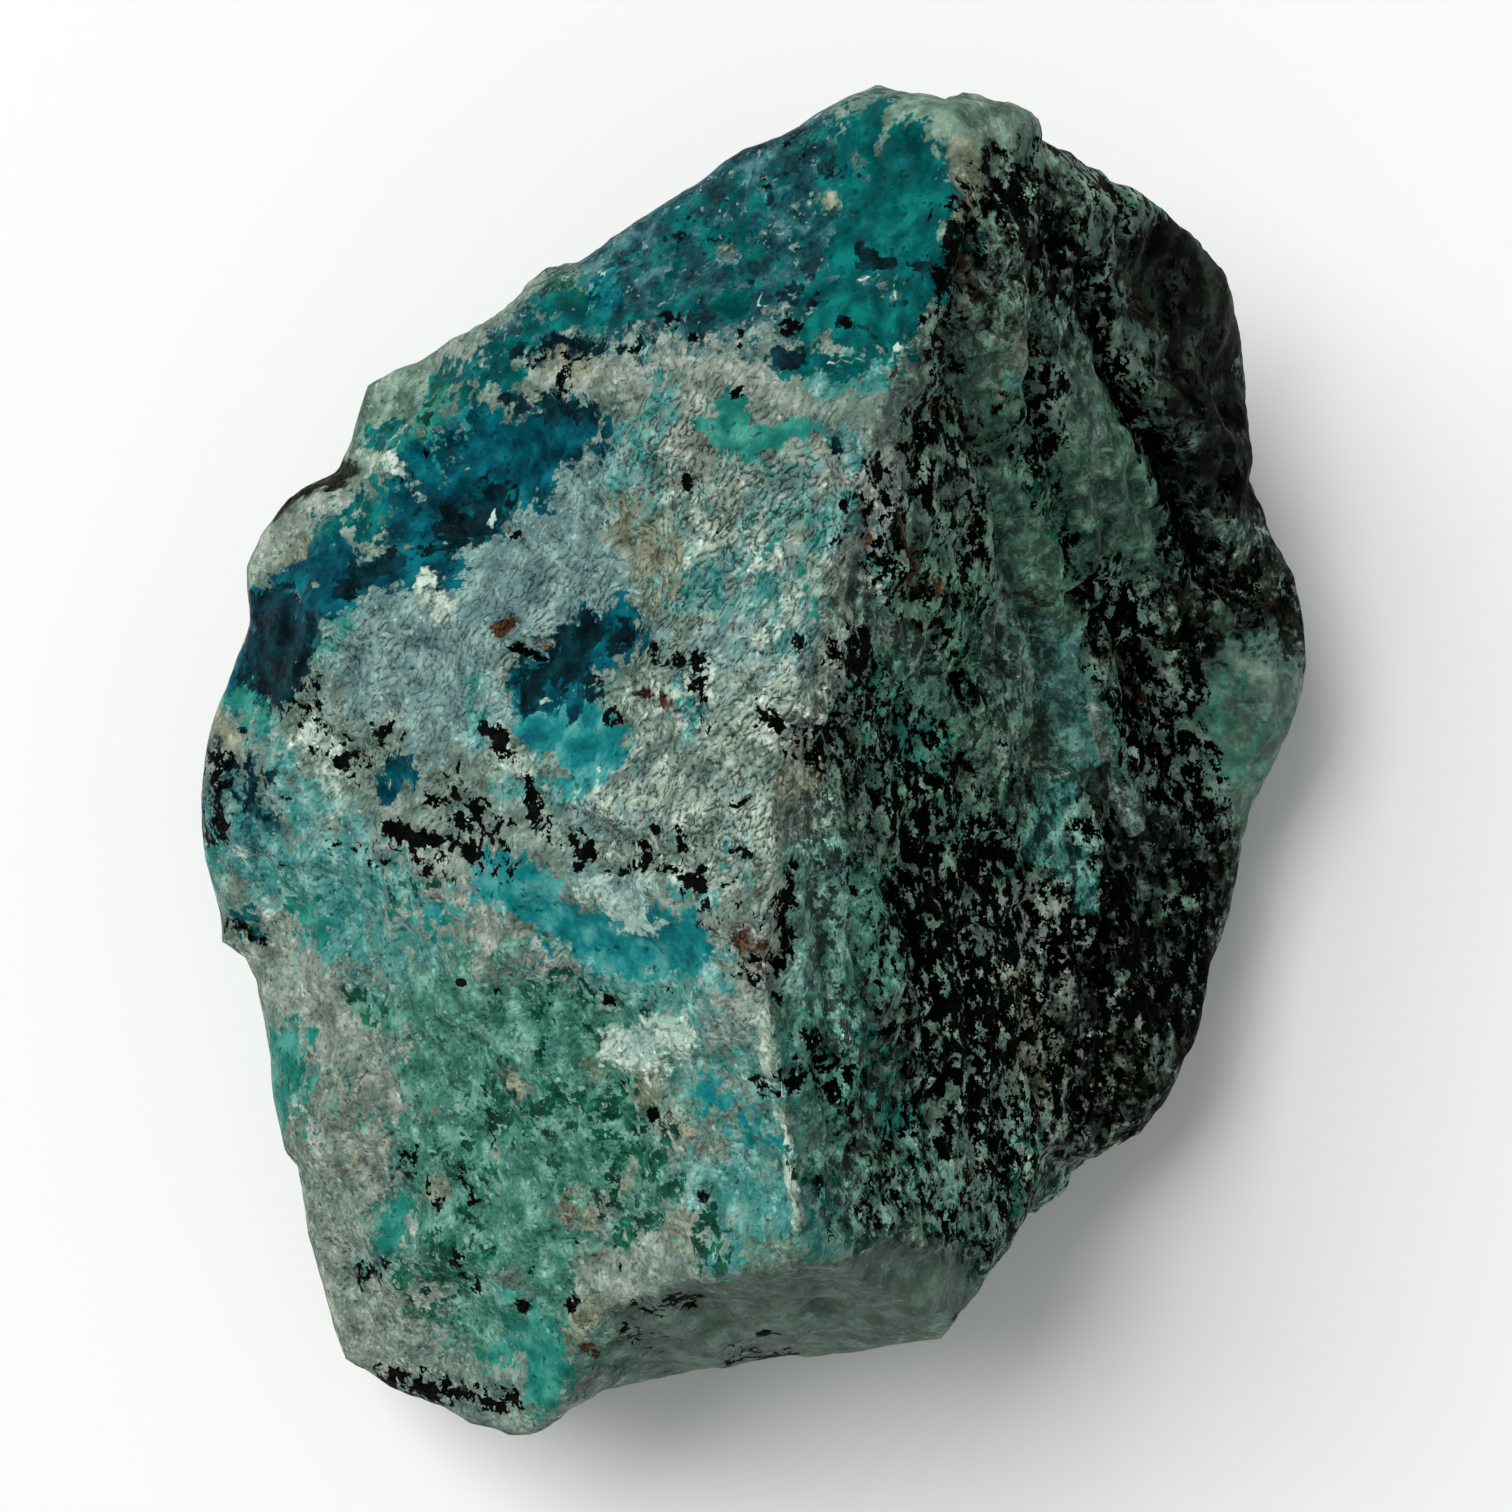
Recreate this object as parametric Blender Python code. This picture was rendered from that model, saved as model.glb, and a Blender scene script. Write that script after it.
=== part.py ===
"""Rough chrysocolla specimen: one broken stone, lying on its flattest fracture face.

The stone is a sheet laid over flat fracture facets, cut to its outline, with flanks that
tuck in below the rim to a flat base. Lumps, scoops and ledges are then raised on it.
Frame: +Z up, origin at the middle of the base, +Y along the long side. All tables are in
millimetres and become metres when the mesh is written.
"""

import math

import bmesh
import bpy
import numpy as np

MM = 0.001
STONE_NAME = "chrysocolla_stone"

# How fine the solid is: squares across the top sheet and rows down the flank.
SHEET_SQUARES = 50
FLANK_ROWS = 8

# The rim seen from above, anticlockwise from the middle of the steep side.
OUTLINE = (
    (30.5, 5.2), (29.8, 10.3), (27.2, 13.2), (26.8, 14.5), (27.2, 20.7), (25.4, 25.9),
    (21.5, 29.1), (16.7, 30.6), (14.3, 31.2), (14.0, 32.4), (13.7, 33.0), (11.8, 32.7),
    (10.3, 33.0), (9.4, 32.6), (6.2, 34.0), (2.2, 31.9), (-4.0, 29.0), (-6.5, 27.8),
    (-9.4, 25.4), (-11.9, 24.3), (-13.3, 22.8), (-18.8, 21.0), (-20.7, 20.2), (-21.6, 17.4),
    (-22.2, 15.6), (-25.0, 14.2), (-26.6, 12.4), (-27.3, 10.6), (-27.3, 7.4), (-29.3, 2.6),
    (-30.0, -2.9), (-29.4, -8.1), (-29.4, -10.0), (-28.1, -10.8), (-27.3, -12.0),
    (-26.7, -16.1), (-25.9, -21.6), (-25.2, -22.3), (-24.5, -28.3), (-22.9, -33.4),
    (-19.5, -34.9), (-14.9, -35.9), (-12.9, -36.2), (-11.3, -36.0), (-8.3, -33.7),
    (-0.3, -32.2), (7.5, -31.2), (10.0, -30.6), (13.0, -25.9), (15.1, -23.1), (15.8, -21.6),
    (18.7, -21.4), (21.3, -20.5), (23.7, -16.9), (25.8, -10.5), (26.8, -4.1), (27.5, -2.0),
    (28.8, 0.4),
)








# Fracture facets of the top, each a plane: height over the origin, rise along X, rise along Y.
# Left of the ridge are three gentle faces, right of it two steep ones above a lower shelf.
LEFT_MAIN = (36.3, 0.726, -0.177)
LEFT_UPPER = (41.9, 0.700, -0.477)
LEFT_LOWER = (40.6, 0.885, 0.373)
FRONT_LEDGE = (85.5, -0.033, 2.190)
LEDGE_END = (49.6, -0.900, 1.190)
BACK_END = (112.0, 0.100, -2.500)
BACK_CORNER = (69.1, -1.000, -0.900)
RIGHT_UPPER = (38.5, -1.410, 0.512)
RIGHT_LOWER = (38.5, -1.500, 0.054)
SHELF_UPPER = (17.1, -0.614, 0.811)
SHELF_BACK = (70.0, -1.400, -1.100)
SHELF_LOWER = (16.4, -0.300, 0.060)
SHELF_INNER = (-30.0, 3.000, 0.000)
CREASE_ROUNDING = 0.9

# Ribs and hollows too local for a facet: X and Y of both ends, radius, height.
RIBS = (
    (27.0, 7.0, 27.0, 2.0, 4.0, 2.4),
    (4.0, 4.0, 6.5, 11.5, 2.4, 1.8),
    (19.0, -12.0, 22.0, -17.0, 5.0, 2.0),
    (10.0, 7.0, 17.5, -8.0, 2.2, 1.4),
    (20.0, 2.5, 21.0, -4.0, 1.6, 1.1),
    (10.0, 31.0, 13.5, 31.0, 2.0, 1.5),
    (-22.0, 16.5, -17.0, 20.5, 2.0, -1.6),
    (-28.0, 4.0, -25.0, 11.0, 2.0, -1.4),
    (-21.0, -1.0, -9.0, -3.0, 1.8, -0.7),
)

# The rim turns over within this share of the radius, and by this much.
RIM_WIDTH = 0.06
RIM_DROP = 1.4

# Fracture facets of the flank: angle from +X in degrees, distance out at the base, gain per mm
# of height. A facet is ignored where it would be met at less than this cosine.
FLANK_FACETS = (
    (2, 24.5, 0.55), (47, 27.0, 0.40), (88, 27.0, 0.30), (131, 24.0, 0.35),
    (176, 25.0, 0.40), (224, 31.0, 0.45), (256, 34.0, 0.35), (300, 28.0, 0.30),
    (328, 24.0, 0.50),
)
GLANCING_COSINE = 0.2
FLANK_TUCK = 0.05
# Below the rim the outline's notches even out over this arc, within this share of the height.
EVEN_ARC = math.radians(14)
EVEN_STEPS = 9
EVEN_SHARE = 0.3

# Relief: wavelength, height, seed. Scoops and chips bend by a share of their wavelength.
LUMPS = (15.0, 1.1, 3)
SCOOPS = (10.0, 2.6, 7)
CHIPS = (4.5, 0.9, 11)
BEND = 0.25
SCOOP_MIDDLE = 0.4
# Shares of the relief on level faces and at the rim, and how far from the rim it comes back.
LEVEL_SHARE = 0.5
RIM_SHARE = 0.25
RIM_CALM = 2.5
BASE_MARGIN = 3.0
SMOOTHING_PASSES = 3
SHARP_ANGLE = math.radians(40)

# Gradient noise is scaled by this to reach about -1 to 1.
NOISE_GAIN = 1.6
NOISE_PERIOD = 256


def soft_min(heights, rounding):
    """Lowest of several heights, with the creases between them rounded."""
    stack = np.stack(np.broadcast_arrays(*heights))
    lowest = stack.min(axis=0)
    return lowest - rounding * np.log(np.exp((lowest - stack) / rounding).sum(axis=0))


def soft_max(heights, rounding):
    return -soft_min([-height for height in heights], rounding)


def facet(plane, x, y):
    height, rise_x, rise_y = plane
    return height + rise_x * x + rise_y * y


def roof(x, y):
    """Height of the stone's top over a point of the plan, from its facets and ribs."""
    right = soft_max([facet(p, x, y) for p in (RIGHT_UPPER, RIGHT_LOWER)], CREASE_ROUNDING)
    ledge = soft_max([facet(p, x, y) for p in (FRONT_LEDGE, LEDGE_END)], CREASE_ROUNDING)
    block = (LEFT_MAIN, LEFT_UPPER, LEFT_LOWER, BACK_END, BACK_CORNER)
    main = soft_min([facet(p, x, y) for p in block] + [right, ledge], CREASE_ROUNDING)
    shelf_top = soft_max([facet(p, x, y) for p in (SHELF_UPPER, SHELF_LOWER)], CREASE_ROUNDING)
    shelf_ends = [facet(p, x, y) for p in (SHELF_BACK, SHELF_INNER)]
    height = soft_max([main, soft_min([shelf_top] + shelf_ends, CREASE_ROUNDING)], CREASE_ROUNDING)
    for start_x, start_y, end_x, end_y, radius, rise in RIBS:
        run_x, run_y = end_x - start_x, end_y - start_y
        along = ((x - start_x) * run_x + (y - start_y) * run_y) / (run_x**2 + run_y**2)
        along = np.clip(along, 0, 1)
        away = np.hypot(x - start_x - along * run_x, y - start_y - along * run_y)
        height = height + rise * np.exp(-((away / radius) ** 2))
    return height


def outline_radius(angle):
    """Distance from the centre to the rim in a direction, read along the outline."""
    x, y = np.array(OUTLINE).T
    angles = np.arctan2(y, x)
    return np.interp(angle, angles, np.hypot(x, y), period=2 * math.pi)


def top_point(u, v):
    """Carries a square of sides -1 to 1 onto the top: squares become rings out to the rim."""
    ring = np.maximum(np.abs(u), np.abs(v))
    wide = np.abs(u) >= np.abs(v)
    ratio = np.where(wide, v, u) / np.where(wide, np.where(u == 0, 1, u), v)
    quarter = math.pi / 4 * ratio
    angle = np.where(wide, quarter + np.pi * (u < 0), np.pi / 2 - quarter + np.pi * (v < 0))
    reach = ring * outline_radius(angle)
    x, y = reach * np.cos(angle), reach * np.sin(angle)
    turn = np.clip((ring - 1 + RIM_WIDTH) / RIM_WIDTH, 0, 1)
    drop = RIM_DROP * (1 - np.sqrt(1 - turn**2))
    return np.stack([x, y, roof(x, y) - drop], axis=-1)


def rim_height(angle):
    rim = outline_radius(angle)
    return roof(rim * np.cos(angle), rim * np.sin(angle)) - RIM_DROP


def flank_point(angle, down):
    """A point of the flank: down runs from 0 at the rim to 1 at the base."""
    rim = outline_radius(angle)
    turns = np.linspace(-EVEN_ARC, EVEN_ARC, EVEN_STEPS)
    even = np.mean([outline_radius(angle + turn) for turn in turns], axis=0)
    height = rim_height(angle) * (1 - down)
    limits = [
        (distance + gain * height)
        / np.maximum(np.cos(angle - math.radians(facing)), GLANCING_COSINE)
        for facing, distance, gain in FLANK_FACETS
    ]
    tucked = soft_min([even * (1 - FLANK_TUCK * down)] + limits, CREASE_ROUNDING)
    radius = rim + (tucked - rim) * min(down / EVEN_SHARE, 1)
    return np.stack([radius * np.cos(angle), radius * np.sin(angle), height], axis=-1)


def shuffle(table, cell):
    """One entry of a shuffled table for each lattice cell, the same on every run."""
    x, y, z = (cell % NOISE_PERIOD).T
    return table[(table[(table[x] + y) % NOISE_PERIOD] + z) % NOISE_PERIOD]


def smooth_noise(points, wavelength, seed):
    """Gradient noise from about -1 to 1 on a cubic lattice."""
    dice = np.random.RandomState(seed)
    table = dice.permutation(NOISE_PERIOD)
    slopes = dice.normal(size=(NOISE_PERIOD, 3))
    slopes /= np.linalg.norm(slopes, axis=1, keepdims=True)
    scaled = points / wavelength
    cell = np.floor(scaled).astype(int)
    inside = scaled - cell
    fade = inside**3 * (inside * (inside * 6 - 15) + 10)
    total = np.zeros(len(points))
    for corner in np.ndindex(2, 2, 2):
        slope = slopes[shuffle(table, cell + corner)]
        weight = np.prod(np.where(corner, fade, 1 - fade), axis=1)
        total += weight * ((inside - corner) * slope).sum(axis=1)
    return total * NOISE_GAIN


def scoop_noise(points, wavelength, seed):
    """Shallow dishes that meet in sharp crests, from 0 in a dish to about 1 on a crest."""
    dice = np.random.RandomState(seed)
    table = dice.permutation(NOISE_PERIOD)
    jitter = dice.uniform(size=(NOISE_PERIOD, 3))
    scaled = points / wavelength
    cell = np.floor(scaled).astype(int)
    nearest = np.full(len(points), np.inf)
    for step in np.ndindex(3, 3, 3):
        at = cell + step - 1
        away = scaled - at - jitter[shuffle(table, at)]
        nearest = np.minimum(nearest, (away**2).sum(axis=1))
    return nearest


def relief(points):
    """How far each point stands proud of its facet, in millimetres."""
    wavelength, height, seed = LUMPS
    rise = height * smooth_noise(points, wavelength, seed)
    for wavelength, height, seed in (SCOOPS, CHIPS):
        shift = BEND * wavelength * smooth_noise(points, wavelength, seed + 1)
        scoops = scoop_noise(points + shift[:, None], wavelength, seed)
        rise = rise + height * (scoops - SCOOP_MIDDLE)
    return rise


def rim_share(points):
    """Share of the relief that is kept, small near the rim so the outline stays as drawn."""
    x, y, height = points.T
    angle = np.arctan2(y, x)
    out = np.hypot(x, y) - outline_radius(angle)
    gap = np.hypot(out, (height - rim_height(angle)) / 2)
    return 1 - (1 - RIM_SHARE) * np.exp(-((gap / RIM_CALM) ** 2))


def positions(mesh):
    flat = np.empty(len(mesh.vertices) * 3)
    mesh.vertices.foreach_get("co", flat)
    return flat.reshape(-1, 3)


def stone_material():
    material = bpy.data.materials.new("chrysocolla in quartz")
    material.use_nodes = True
    shader = material.node_tree.nodes["Principled BSDF"]
    shader.inputs["Base Color"].default_value = (0.13, 0.30, 0.29, 1.0)
    shader.inputs["Roughness"].default_value = 0.62
    shader.inputs["Metallic"].default_value = 0.0
    return material


def draw_top(shell):
    """The top sheet: a square grid carried onto the facets, its creases evened out."""
    bmesh.ops.create_grid(shell, x_segments=SHEET_SQUARES, y_segments=SHEET_SQUARES, size=1)
    square = np.array([vertex.co for vertex in shell.verts])
    for vertex, place in zip(shell.verts, top_point(square[:, 0], square[:, 1])):
        vertex.co = place
    inner = [vertex for vertex in shell.verts if not vertex.is_boundary]
    for _ in range(SMOOTHING_PASSES):
        bmesh.ops.smooth_vert(
            shell, verts=inner, factor=0.5, use_axis_x=True, use_axis_y=True, use_axis_z=True
        )


def draw_flank(shell):
    """Rows extruded from the rim down to the base, which a flat face closes."""
    for down in np.linspace(0, 1, FLANK_ROWS + 1)[1:]:
        rim = [edge for edge in shell.edges if edge.is_boundary]
        row = bmesh.ops.extrude_edge_only(shell, edges=rim)["geom"]
        vertices = [item for item in row if isinstance(item, bmesh.types.BMVert)]
        angles = np.array([math.atan2(vertex.co.y, vertex.co.x) for vertex in vertices])
        for vertex, place in zip(vertices, flank_point(angles, down)):
            vertex.co = place
    bmesh.ops.contextual_create(shell, geom=[edge for edge in shell.edges if edge.is_boundary])
    bmesh.ops.recalc_face_normals(shell, faces=shell.faces)


def raise_relief(mesh):
    """Moves each point along its normal by the relief, fading out at the flat base."""
    points = positions(mesh)
    normals = np.empty(len(points) * 3)
    mesh.vertices.foreach_get("normal", normals)
    normals = normals.reshape(-1, 3)
    share = 1 - (1 - LEVEL_SHARE) * np.clip(normals[:, 2], 0, 1) ** 2
    share *= np.clip(points[:, 2] / BASE_MARGIN, 0, 1) * rim_share(points)
    points += normals * (relief(points) * share)[:, None]
    points[:, 2] = np.maximum(points[:, 2], 0)
    points[:, :2] -= (points[:, :2].max(axis=0) + points[:, :2].min(axis=0)) / 2
    mesh.vertices.foreach_set("co", (points * MM).ravel())
    mesh.update()


def build_stone(collection):
    shell = bmesh.new()
    draw_top(shell)
    draw_flank(shell)
    mesh = bpy.data.meshes.new(STONE_NAME)
    shell.to_mesh(mesh)
    shell.free()
    raise_relief(mesh)
    mesh.materials.append(stone_material())
    mesh.shade_smooth()
    mesh.set_sharp_from_angle(angle=SHARP_ANGLE)
    stone = bpy.data.objects.new(STONE_NAME, mesh)
    collection.objects.link(stone)
    return stone


def main():
    for item in list(bpy.data.objects):
        bpy.data.objects.remove(item)
    collection = bpy.data.collections.new("chrysocolla specimen")
    bpy.context.scene.collection.children.link(collection)
    build_stone(collection)


main()
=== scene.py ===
from functools import partial
from math import cos, pi, radians, sin

import bpy
import numpy as np
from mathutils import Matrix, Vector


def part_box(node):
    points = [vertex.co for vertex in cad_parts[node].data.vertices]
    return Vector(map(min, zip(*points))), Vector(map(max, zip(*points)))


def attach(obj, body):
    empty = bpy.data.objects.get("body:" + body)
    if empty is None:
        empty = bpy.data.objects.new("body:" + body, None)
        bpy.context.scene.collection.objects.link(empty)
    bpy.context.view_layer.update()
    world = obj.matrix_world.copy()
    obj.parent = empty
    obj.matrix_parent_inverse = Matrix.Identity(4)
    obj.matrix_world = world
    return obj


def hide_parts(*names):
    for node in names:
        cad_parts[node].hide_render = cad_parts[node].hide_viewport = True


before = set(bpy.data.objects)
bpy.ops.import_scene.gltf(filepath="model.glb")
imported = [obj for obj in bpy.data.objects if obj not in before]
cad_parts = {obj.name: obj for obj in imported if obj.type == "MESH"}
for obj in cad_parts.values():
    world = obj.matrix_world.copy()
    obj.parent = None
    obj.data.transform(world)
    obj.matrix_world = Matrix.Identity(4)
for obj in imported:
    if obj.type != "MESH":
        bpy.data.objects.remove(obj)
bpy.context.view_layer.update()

mm = 0.001  # in metres

# The camera looks straight down on the lying stone. Heights and distances here are in mm.
viewFrom = {
    "x": -0.2,
    "y": 1.35,
    "height": 204.6,
    "lens": 85.0,
    "sensor": 36.0,
    "nearest": 10.0,  # nothing closer than this shows
    "picture": 1512,  # the side of the square picture, in pixels
}


# sRGB hex to linear: each channel over 255, then the standard curve
def linearColour(hexCode):
    channels = np.array([int(hexCode[at:at + 2], 16) for at in (1, 3, 5)]) / 255
    linear = np.where(channels <= 0.04045, channels / 12.92, ((channels + 0.055) / 1.055) ** 2.4)
    return (*linear, 1.0)


# One node of a material: its inputs by name or in order, as values or as nodes or sockets to link
# from, its settings by name, and the socket that its first output goes to.
def addNode(tree, kind, inputs=(), to=None, **settings):
    node = tree.nodes.new("ShaderNode" + kind)
    for name, value in settings.items():
        setattr(node, name, value)
    for place, value in inputs.items() if isinstance(inputs, dict) else enumerate(inputs):
        if isinstance(value, bpy.types.Node):
            value = value.outputs[0]
        if isinstance(value, bpy.types.NodeSocket):
            tree.links.new(value, node.inputs[place])
        else:
            node.inputs[place].default_value = value
    if to is not None:
        tree.links.new(node.outputs[0], to)
    return node


# The stone's form: the same facets, outline and relief as the solid, in mm.
stoneForm = {
    "node": "chrysocolla_stone",
    "outline": [
        (30.5, 5.2), (29.8, 10.3), (27.2, 13.2), (26.8, 14.5), (27.2, 20.7), (25.4, 25.9),
        (21.5, 29.1), (16.7, 30.6), (14.3, 31.2), (14.0, 32.4), (13.7, 33.0), (11.8, 32.7),
        (10.3, 33.0), (9.4, 32.6), (6.2, 34.0), (2.2, 31.9), (-4.0, 29.0), (-6.5, 27.8),
        (-9.4, 25.4), (-11.9, 24.3), (-13.3, 22.8), (-18.8, 21.0), (-20.7, 20.2), (-21.6, 17.4),
        (-22.2, 15.6), (-25.0, 14.2), (-26.6, 12.4), (-27.3, 10.6), (-27.3, 7.4), (-29.3, 2.6),
        (-30.0, -2.9), (-29.4, -8.1), (-29.4, -10.0), (-28.1, -10.8), (-27.3, -12.0),
        (-26.7, -16.1), (-25.9, -21.6), (-25.2, -22.3), (-24.5, -28.3), (-22.9, -33.4),
        (-19.5, -34.9), (-14.9, -35.9), (-12.9, -36.2), (-11.3, -36.0), (-8.3, -33.7),
        (-0.3, -32.2), (7.5, -31.2), (10.0, -30.6), (13.0, -25.9), (15.1, -23.1), (15.8, -21.6),
        (18.7, -21.4), (21.3, -20.5), (23.7, -16.9), (25.8, -10.5), (26.8, -4.1), (27.5, -2.0),
        (28.8, 0.4),
    ],
    # facets: height over the origin, rise along X, rise along Y
    "leftMain": (36.3, 0.726, -0.177),
    "leftUpper": (41.9, 0.700, -0.477),
    "leftLower": (40.6, 0.885, 0.373),
    "frontLedge": (85.5, -0.033, 2.190),
    "ledgeEnd": (49.6, -0.900, 1.190),
    "backEnd": (112.0, 0.100, -2.500),
    "backCorner": (69.1, -1.000, -0.900),
    "rightUpper": (37.2, -1.410, 0.512),
    "rightLower": (38.5, -1.500, 0.054),
    "shelfUpper": (17.1, -0.614, 0.811),
    "shelfBack": (70.0, -1.400, -1.100),
    "shelfLower": (16.4, -0.300, 0.060),
    "shelfInner": (-30.0, 3.000, 0.000),
    "creaseRounding": 0.5,
    # ribs, and hollows where the height is below 0: X and Y of both ends, radius, height
    "ribs": [
        (27.0, 7.0, 27.0, 2.0, 4.0, 2.4),
        (4.0, 4.0, 6.5, 11.5, 2.4, 1.8),
        (19.0, -12.0, 22.0, -17.0, 5.0, 2.0),
        (10.0, 7.0, 17.5, -8.0, 2.2, 1.4),
        (20.0, 2.5, 21.0, -4.0, 1.6, 1.1),
        (10.0, 31.0, 13.5, 31.0, 2.0, 1.5),
        (-22.0, 16.5, -17.0, 20.5, 2.0, -1.6),
        (-28.0, 4.0, -25.0, 11.0, 2.0, -1.4),
        (-21.0, -1.0, -9.0, -3.0, 1.8, -0.7),
        (4.4, -5.0, 4.8, -21.0, 3.2, 2.0),
        (8.8, 15.0, 6.6, 6.0, 2.4, 0.8),
    ],
    "rimWidth": 0.06,  # share of the radius in which the rim turns over
    "rimDrop": 1.4,
    # flank facets: angle from +X in degrees, distance out at the base, gain per mm of height
    "flankFacets": [
        (2, 24.5, 0.55), (47, 27.0, 0.40), (88, 27.0, 0.30), (131, 24.0, 0.35),
        (176, 25.0, 0.40), (224, 31.0, 0.45), (256, 34.0, 0.35), (300, 28.0, 0.30),
        (328, 24.0, 0.50),
    ],
    "glancingCosine": 0.2,  # keeps a facet seen along its face from running off
    "flankTuck": 0.05,  # share drawn in at the base
    "evenArc": radians(14),  # to each side, over which the rim is evened
    "evenSteps": 9,
    "evenShare": 0.3,  # share of the way down over which the facets take over
    # relief: wavelength, height, seed
    "lumps": (15.0, 1.1, 3),
    "scoops": (10.0, 2.6, 7),
    "chips": (4.5, 0.9, 11),
    "bend": 0.25,  # how far noise shifts a scoop, as a share of its wavelength
    "scoopMiddle": 0.4,  # squared distance at which a scoop adds nothing
    "levelShare": 0.5,  # what is kept where the surface is level
    "foliatedShares": {"scoops": 0.7, "chips": 0.2},  # what is kept of them where foliated
    "rimShare": 0.25,  # what is kept at the rim
    "rimCalm": 2.5,  # how far from the rim the relief is held back
    "rimCalmTall": 2,  # times farther up and down than out and in
    "baseMargin": 3.0,  # height over which the relief grows from the base
    "fineMargin": 1.0,  # the same for the fine relief
    # how fine the surface is
    "squares": 230,  # along one side of the top sheet
    "flankRows": 34,
    "baseRings": (0.94, 0.84, 0.7, 0.54, 0.37, 0.2),  # shares of the way out to the foot
    # shares of the way down the flank where hidden minerals begin, and over which they take over
    "hiddenFrom": 0.08,
    "hiddenFade": 0.4,
}


# lowest of several heights with rounded creases: minus r times the log of the sum of exp(-h / r)
def softLowest(heights, rounding):
    stack = np.stack(np.broadcast_arrays(*heights))
    lowest = stack.min(axis=0)
    return lowest - rounding * np.log(np.exp((lowest - stack) / rounding).sum(axis=0))


# highest of several heights, as the lowest of them turned over
def softHighest(heights, rounding):
    return -softLowest([-height for height in heights], rounding)


shortest = 1e-9  # keeps a spot, which has no length, from dividing by nothing


# distance from points to a straight stroke, by the nearest point along it
def strokeDistance(x, y, startX, startY, endX, endY):
    runX, runY = endX - startX, endY - startY
    along = ((x - startX) * runX + (y - startY) * runY) / max(runX**2 + runY**2, shortest)
    along = np.clip(along, 0, 1)
    return np.hypot(x - startX - along * runX, y - startY - along * runY)


# height of the top: the lowest of the block's facets, joined to the shelf below, plus bell-shaped ribs
def roofHeight(form, x, y):
    rounding = form["creaseRounding"]
    planes = {
        name: form[name][0] + form[name][1] * x + form[name][2] * y
        for name in ("leftMain", "leftUpper", "leftLower", "frontLedge", "ledgeEnd", "backEnd",
                     "backCorner", "rightUpper", "rightLower", "shelfUpper", "shelfBack",
                     "shelfLower", "shelfInner")
    }
    right = softHighest([planes["rightUpper"], planes["rightLower"]], rounding)
    ledge = softHighest([planes["frontLedge"], planes["ledgeEnd"]], rounding)
    block = [planes[name] for name in ("leftMain", "leftUpper", "leftLower", "backEnd", "backCorner")]
    main = softLowest(block + [right, ledge], rounding)
    shelfTop = softHighest([planes["shelfUpper"], planes["shelfLower"]], rounding)
    shelf = softLowest([shelfTop, planes["shelfBack"], planes["shelfInner"]], rounding)
    height = softHighest([main, shelf], rounding)
    for startX, startY, endX, endY, radius, rise in form["ribs"]:
        away = strokeDistance(x, y, startX, startY, endX, endY)
        height = height + rise * np.exp(-((away / radius) ** 2))
    return height


# distance from the middle to the rim, read along the outline in polar form
def rimRadius(form, angle):
    x, y = np.array(form["outline"]).T
    return np.interp(angle, np.arctan2(y, x), np.hypot(x, y), period=2 * pi)


# height of the rim: the roof over it, less the drop of the turned edge
def rimHeight(form, angle):
    rim = rimRadius(form, angle)
    return roofHeight(form, rim * np.cos(angle), rim * np.sin(angle)) - form["rimDrop"]


# top sheet as a function of u and v from -1 to 1: squares become rings (the concentric map),
# each ring is scaled to the outline, and the last ring turns over on a quarter circle
def topSheet(form, u, v):
    ring = np.maximum(np.abs(u), np.abs(v))
    wide = np.abs(u) >= np.abs(v)
    ratio = np.where(wide, v, u) / np.where(wide, np.where(u == 0, 1, u), v)
    quarter = pi / 4 * ratio
    angle = np.where(wide, quarter + pi * (u < 0), pi / 2 - quarter + pi * (v < 0))
    reach = ring * rimRadius(form, angle)
    x, y = reach * np.cos(angle), reach * np.sin(angle)
    turn = np.clip((ring - 1 + form["rimWidth"]) / form["rimWidth"], 0, 1)
    drop = form["rimDrop"] * (1 - np.sqrt(1 - turn**2))
    return np.stack([x, y, roofHeight(form, x, y) - drop], axis=-1)


# flank as a function of angle and of down, 0 at the rim and 1 at the base: the radius is the
# soft lowest of the evened rim and of the flank facets, and takes over from the rim by degrees
def flankSheet(form, angle, down):
    rim = rimRadius(form, angle)
    turns = np.linspace(-form["evenArc"], form["evenArc"], form["evenSteps"])
    even = np.mean([rimRadius(form, angle + turn) for turn in turns], axis=0)
    height = rimHeight(form, angle) * (1 - down)
    limits = [
        (distance + gain * height)
        / np.maximum(np.cos(angle - radians(facing)), form["glancingCosine"])
        for facing, distance, gain in form["flankFacets"]
    ]
    tucked = softLowest([even * (1 - form["flankTuck"] * down)] + limits, form["creaseRounding"])
    radius = rim + (tucked - rim) * np.minimum(down / form["evenShare"], 1)
    return np.stack([radius * np.cos(angle), radius * np.sin(angle), height], axis=-1)


noisePeriod = 256  # cells before the noise repeats
noiseGain = 1.6  # brings it to about -1 to 1


# one entry of a shuffled table for each lattice cell
def shuffled(table, cell):
    x, y, z = (cell % noisePeriod).T
    return table[(table[(table[x] + y) % noisePeriod] + z) % noisePeriod]


# gradient noise from about -1 to 1: random slopes at lattice corners, blended by a smooth curve
def latticeNoise(points, wavelength, seed):
    dice = np.random.RandomState(seed)
    table = dice.permutation(noisePeriod)
    slopes = dice.normal(size=(noisePeriod, 3))
    slopes /= np.linalg.norm(slopes, axis=1, keepdims=True)
    scaled = points / wavelength
    cell = np.floor(scaled).astype(int)
    inside = scaled - cell
    fade = inside**3 * (inside * (inside * 6 - 15) + 10)
    total = np.zeros(len(points))
    for corner in np.ndindex(2, 2, 2):
        slope = slopes[shuffled(table, cell + corner)]
        weight = np.prod(np.where(corner, fade, 1 - fade), axis=1)
        total += weight * ((inside - corner) * slope).sum(axis=1)
    return total * noiseGain


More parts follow.
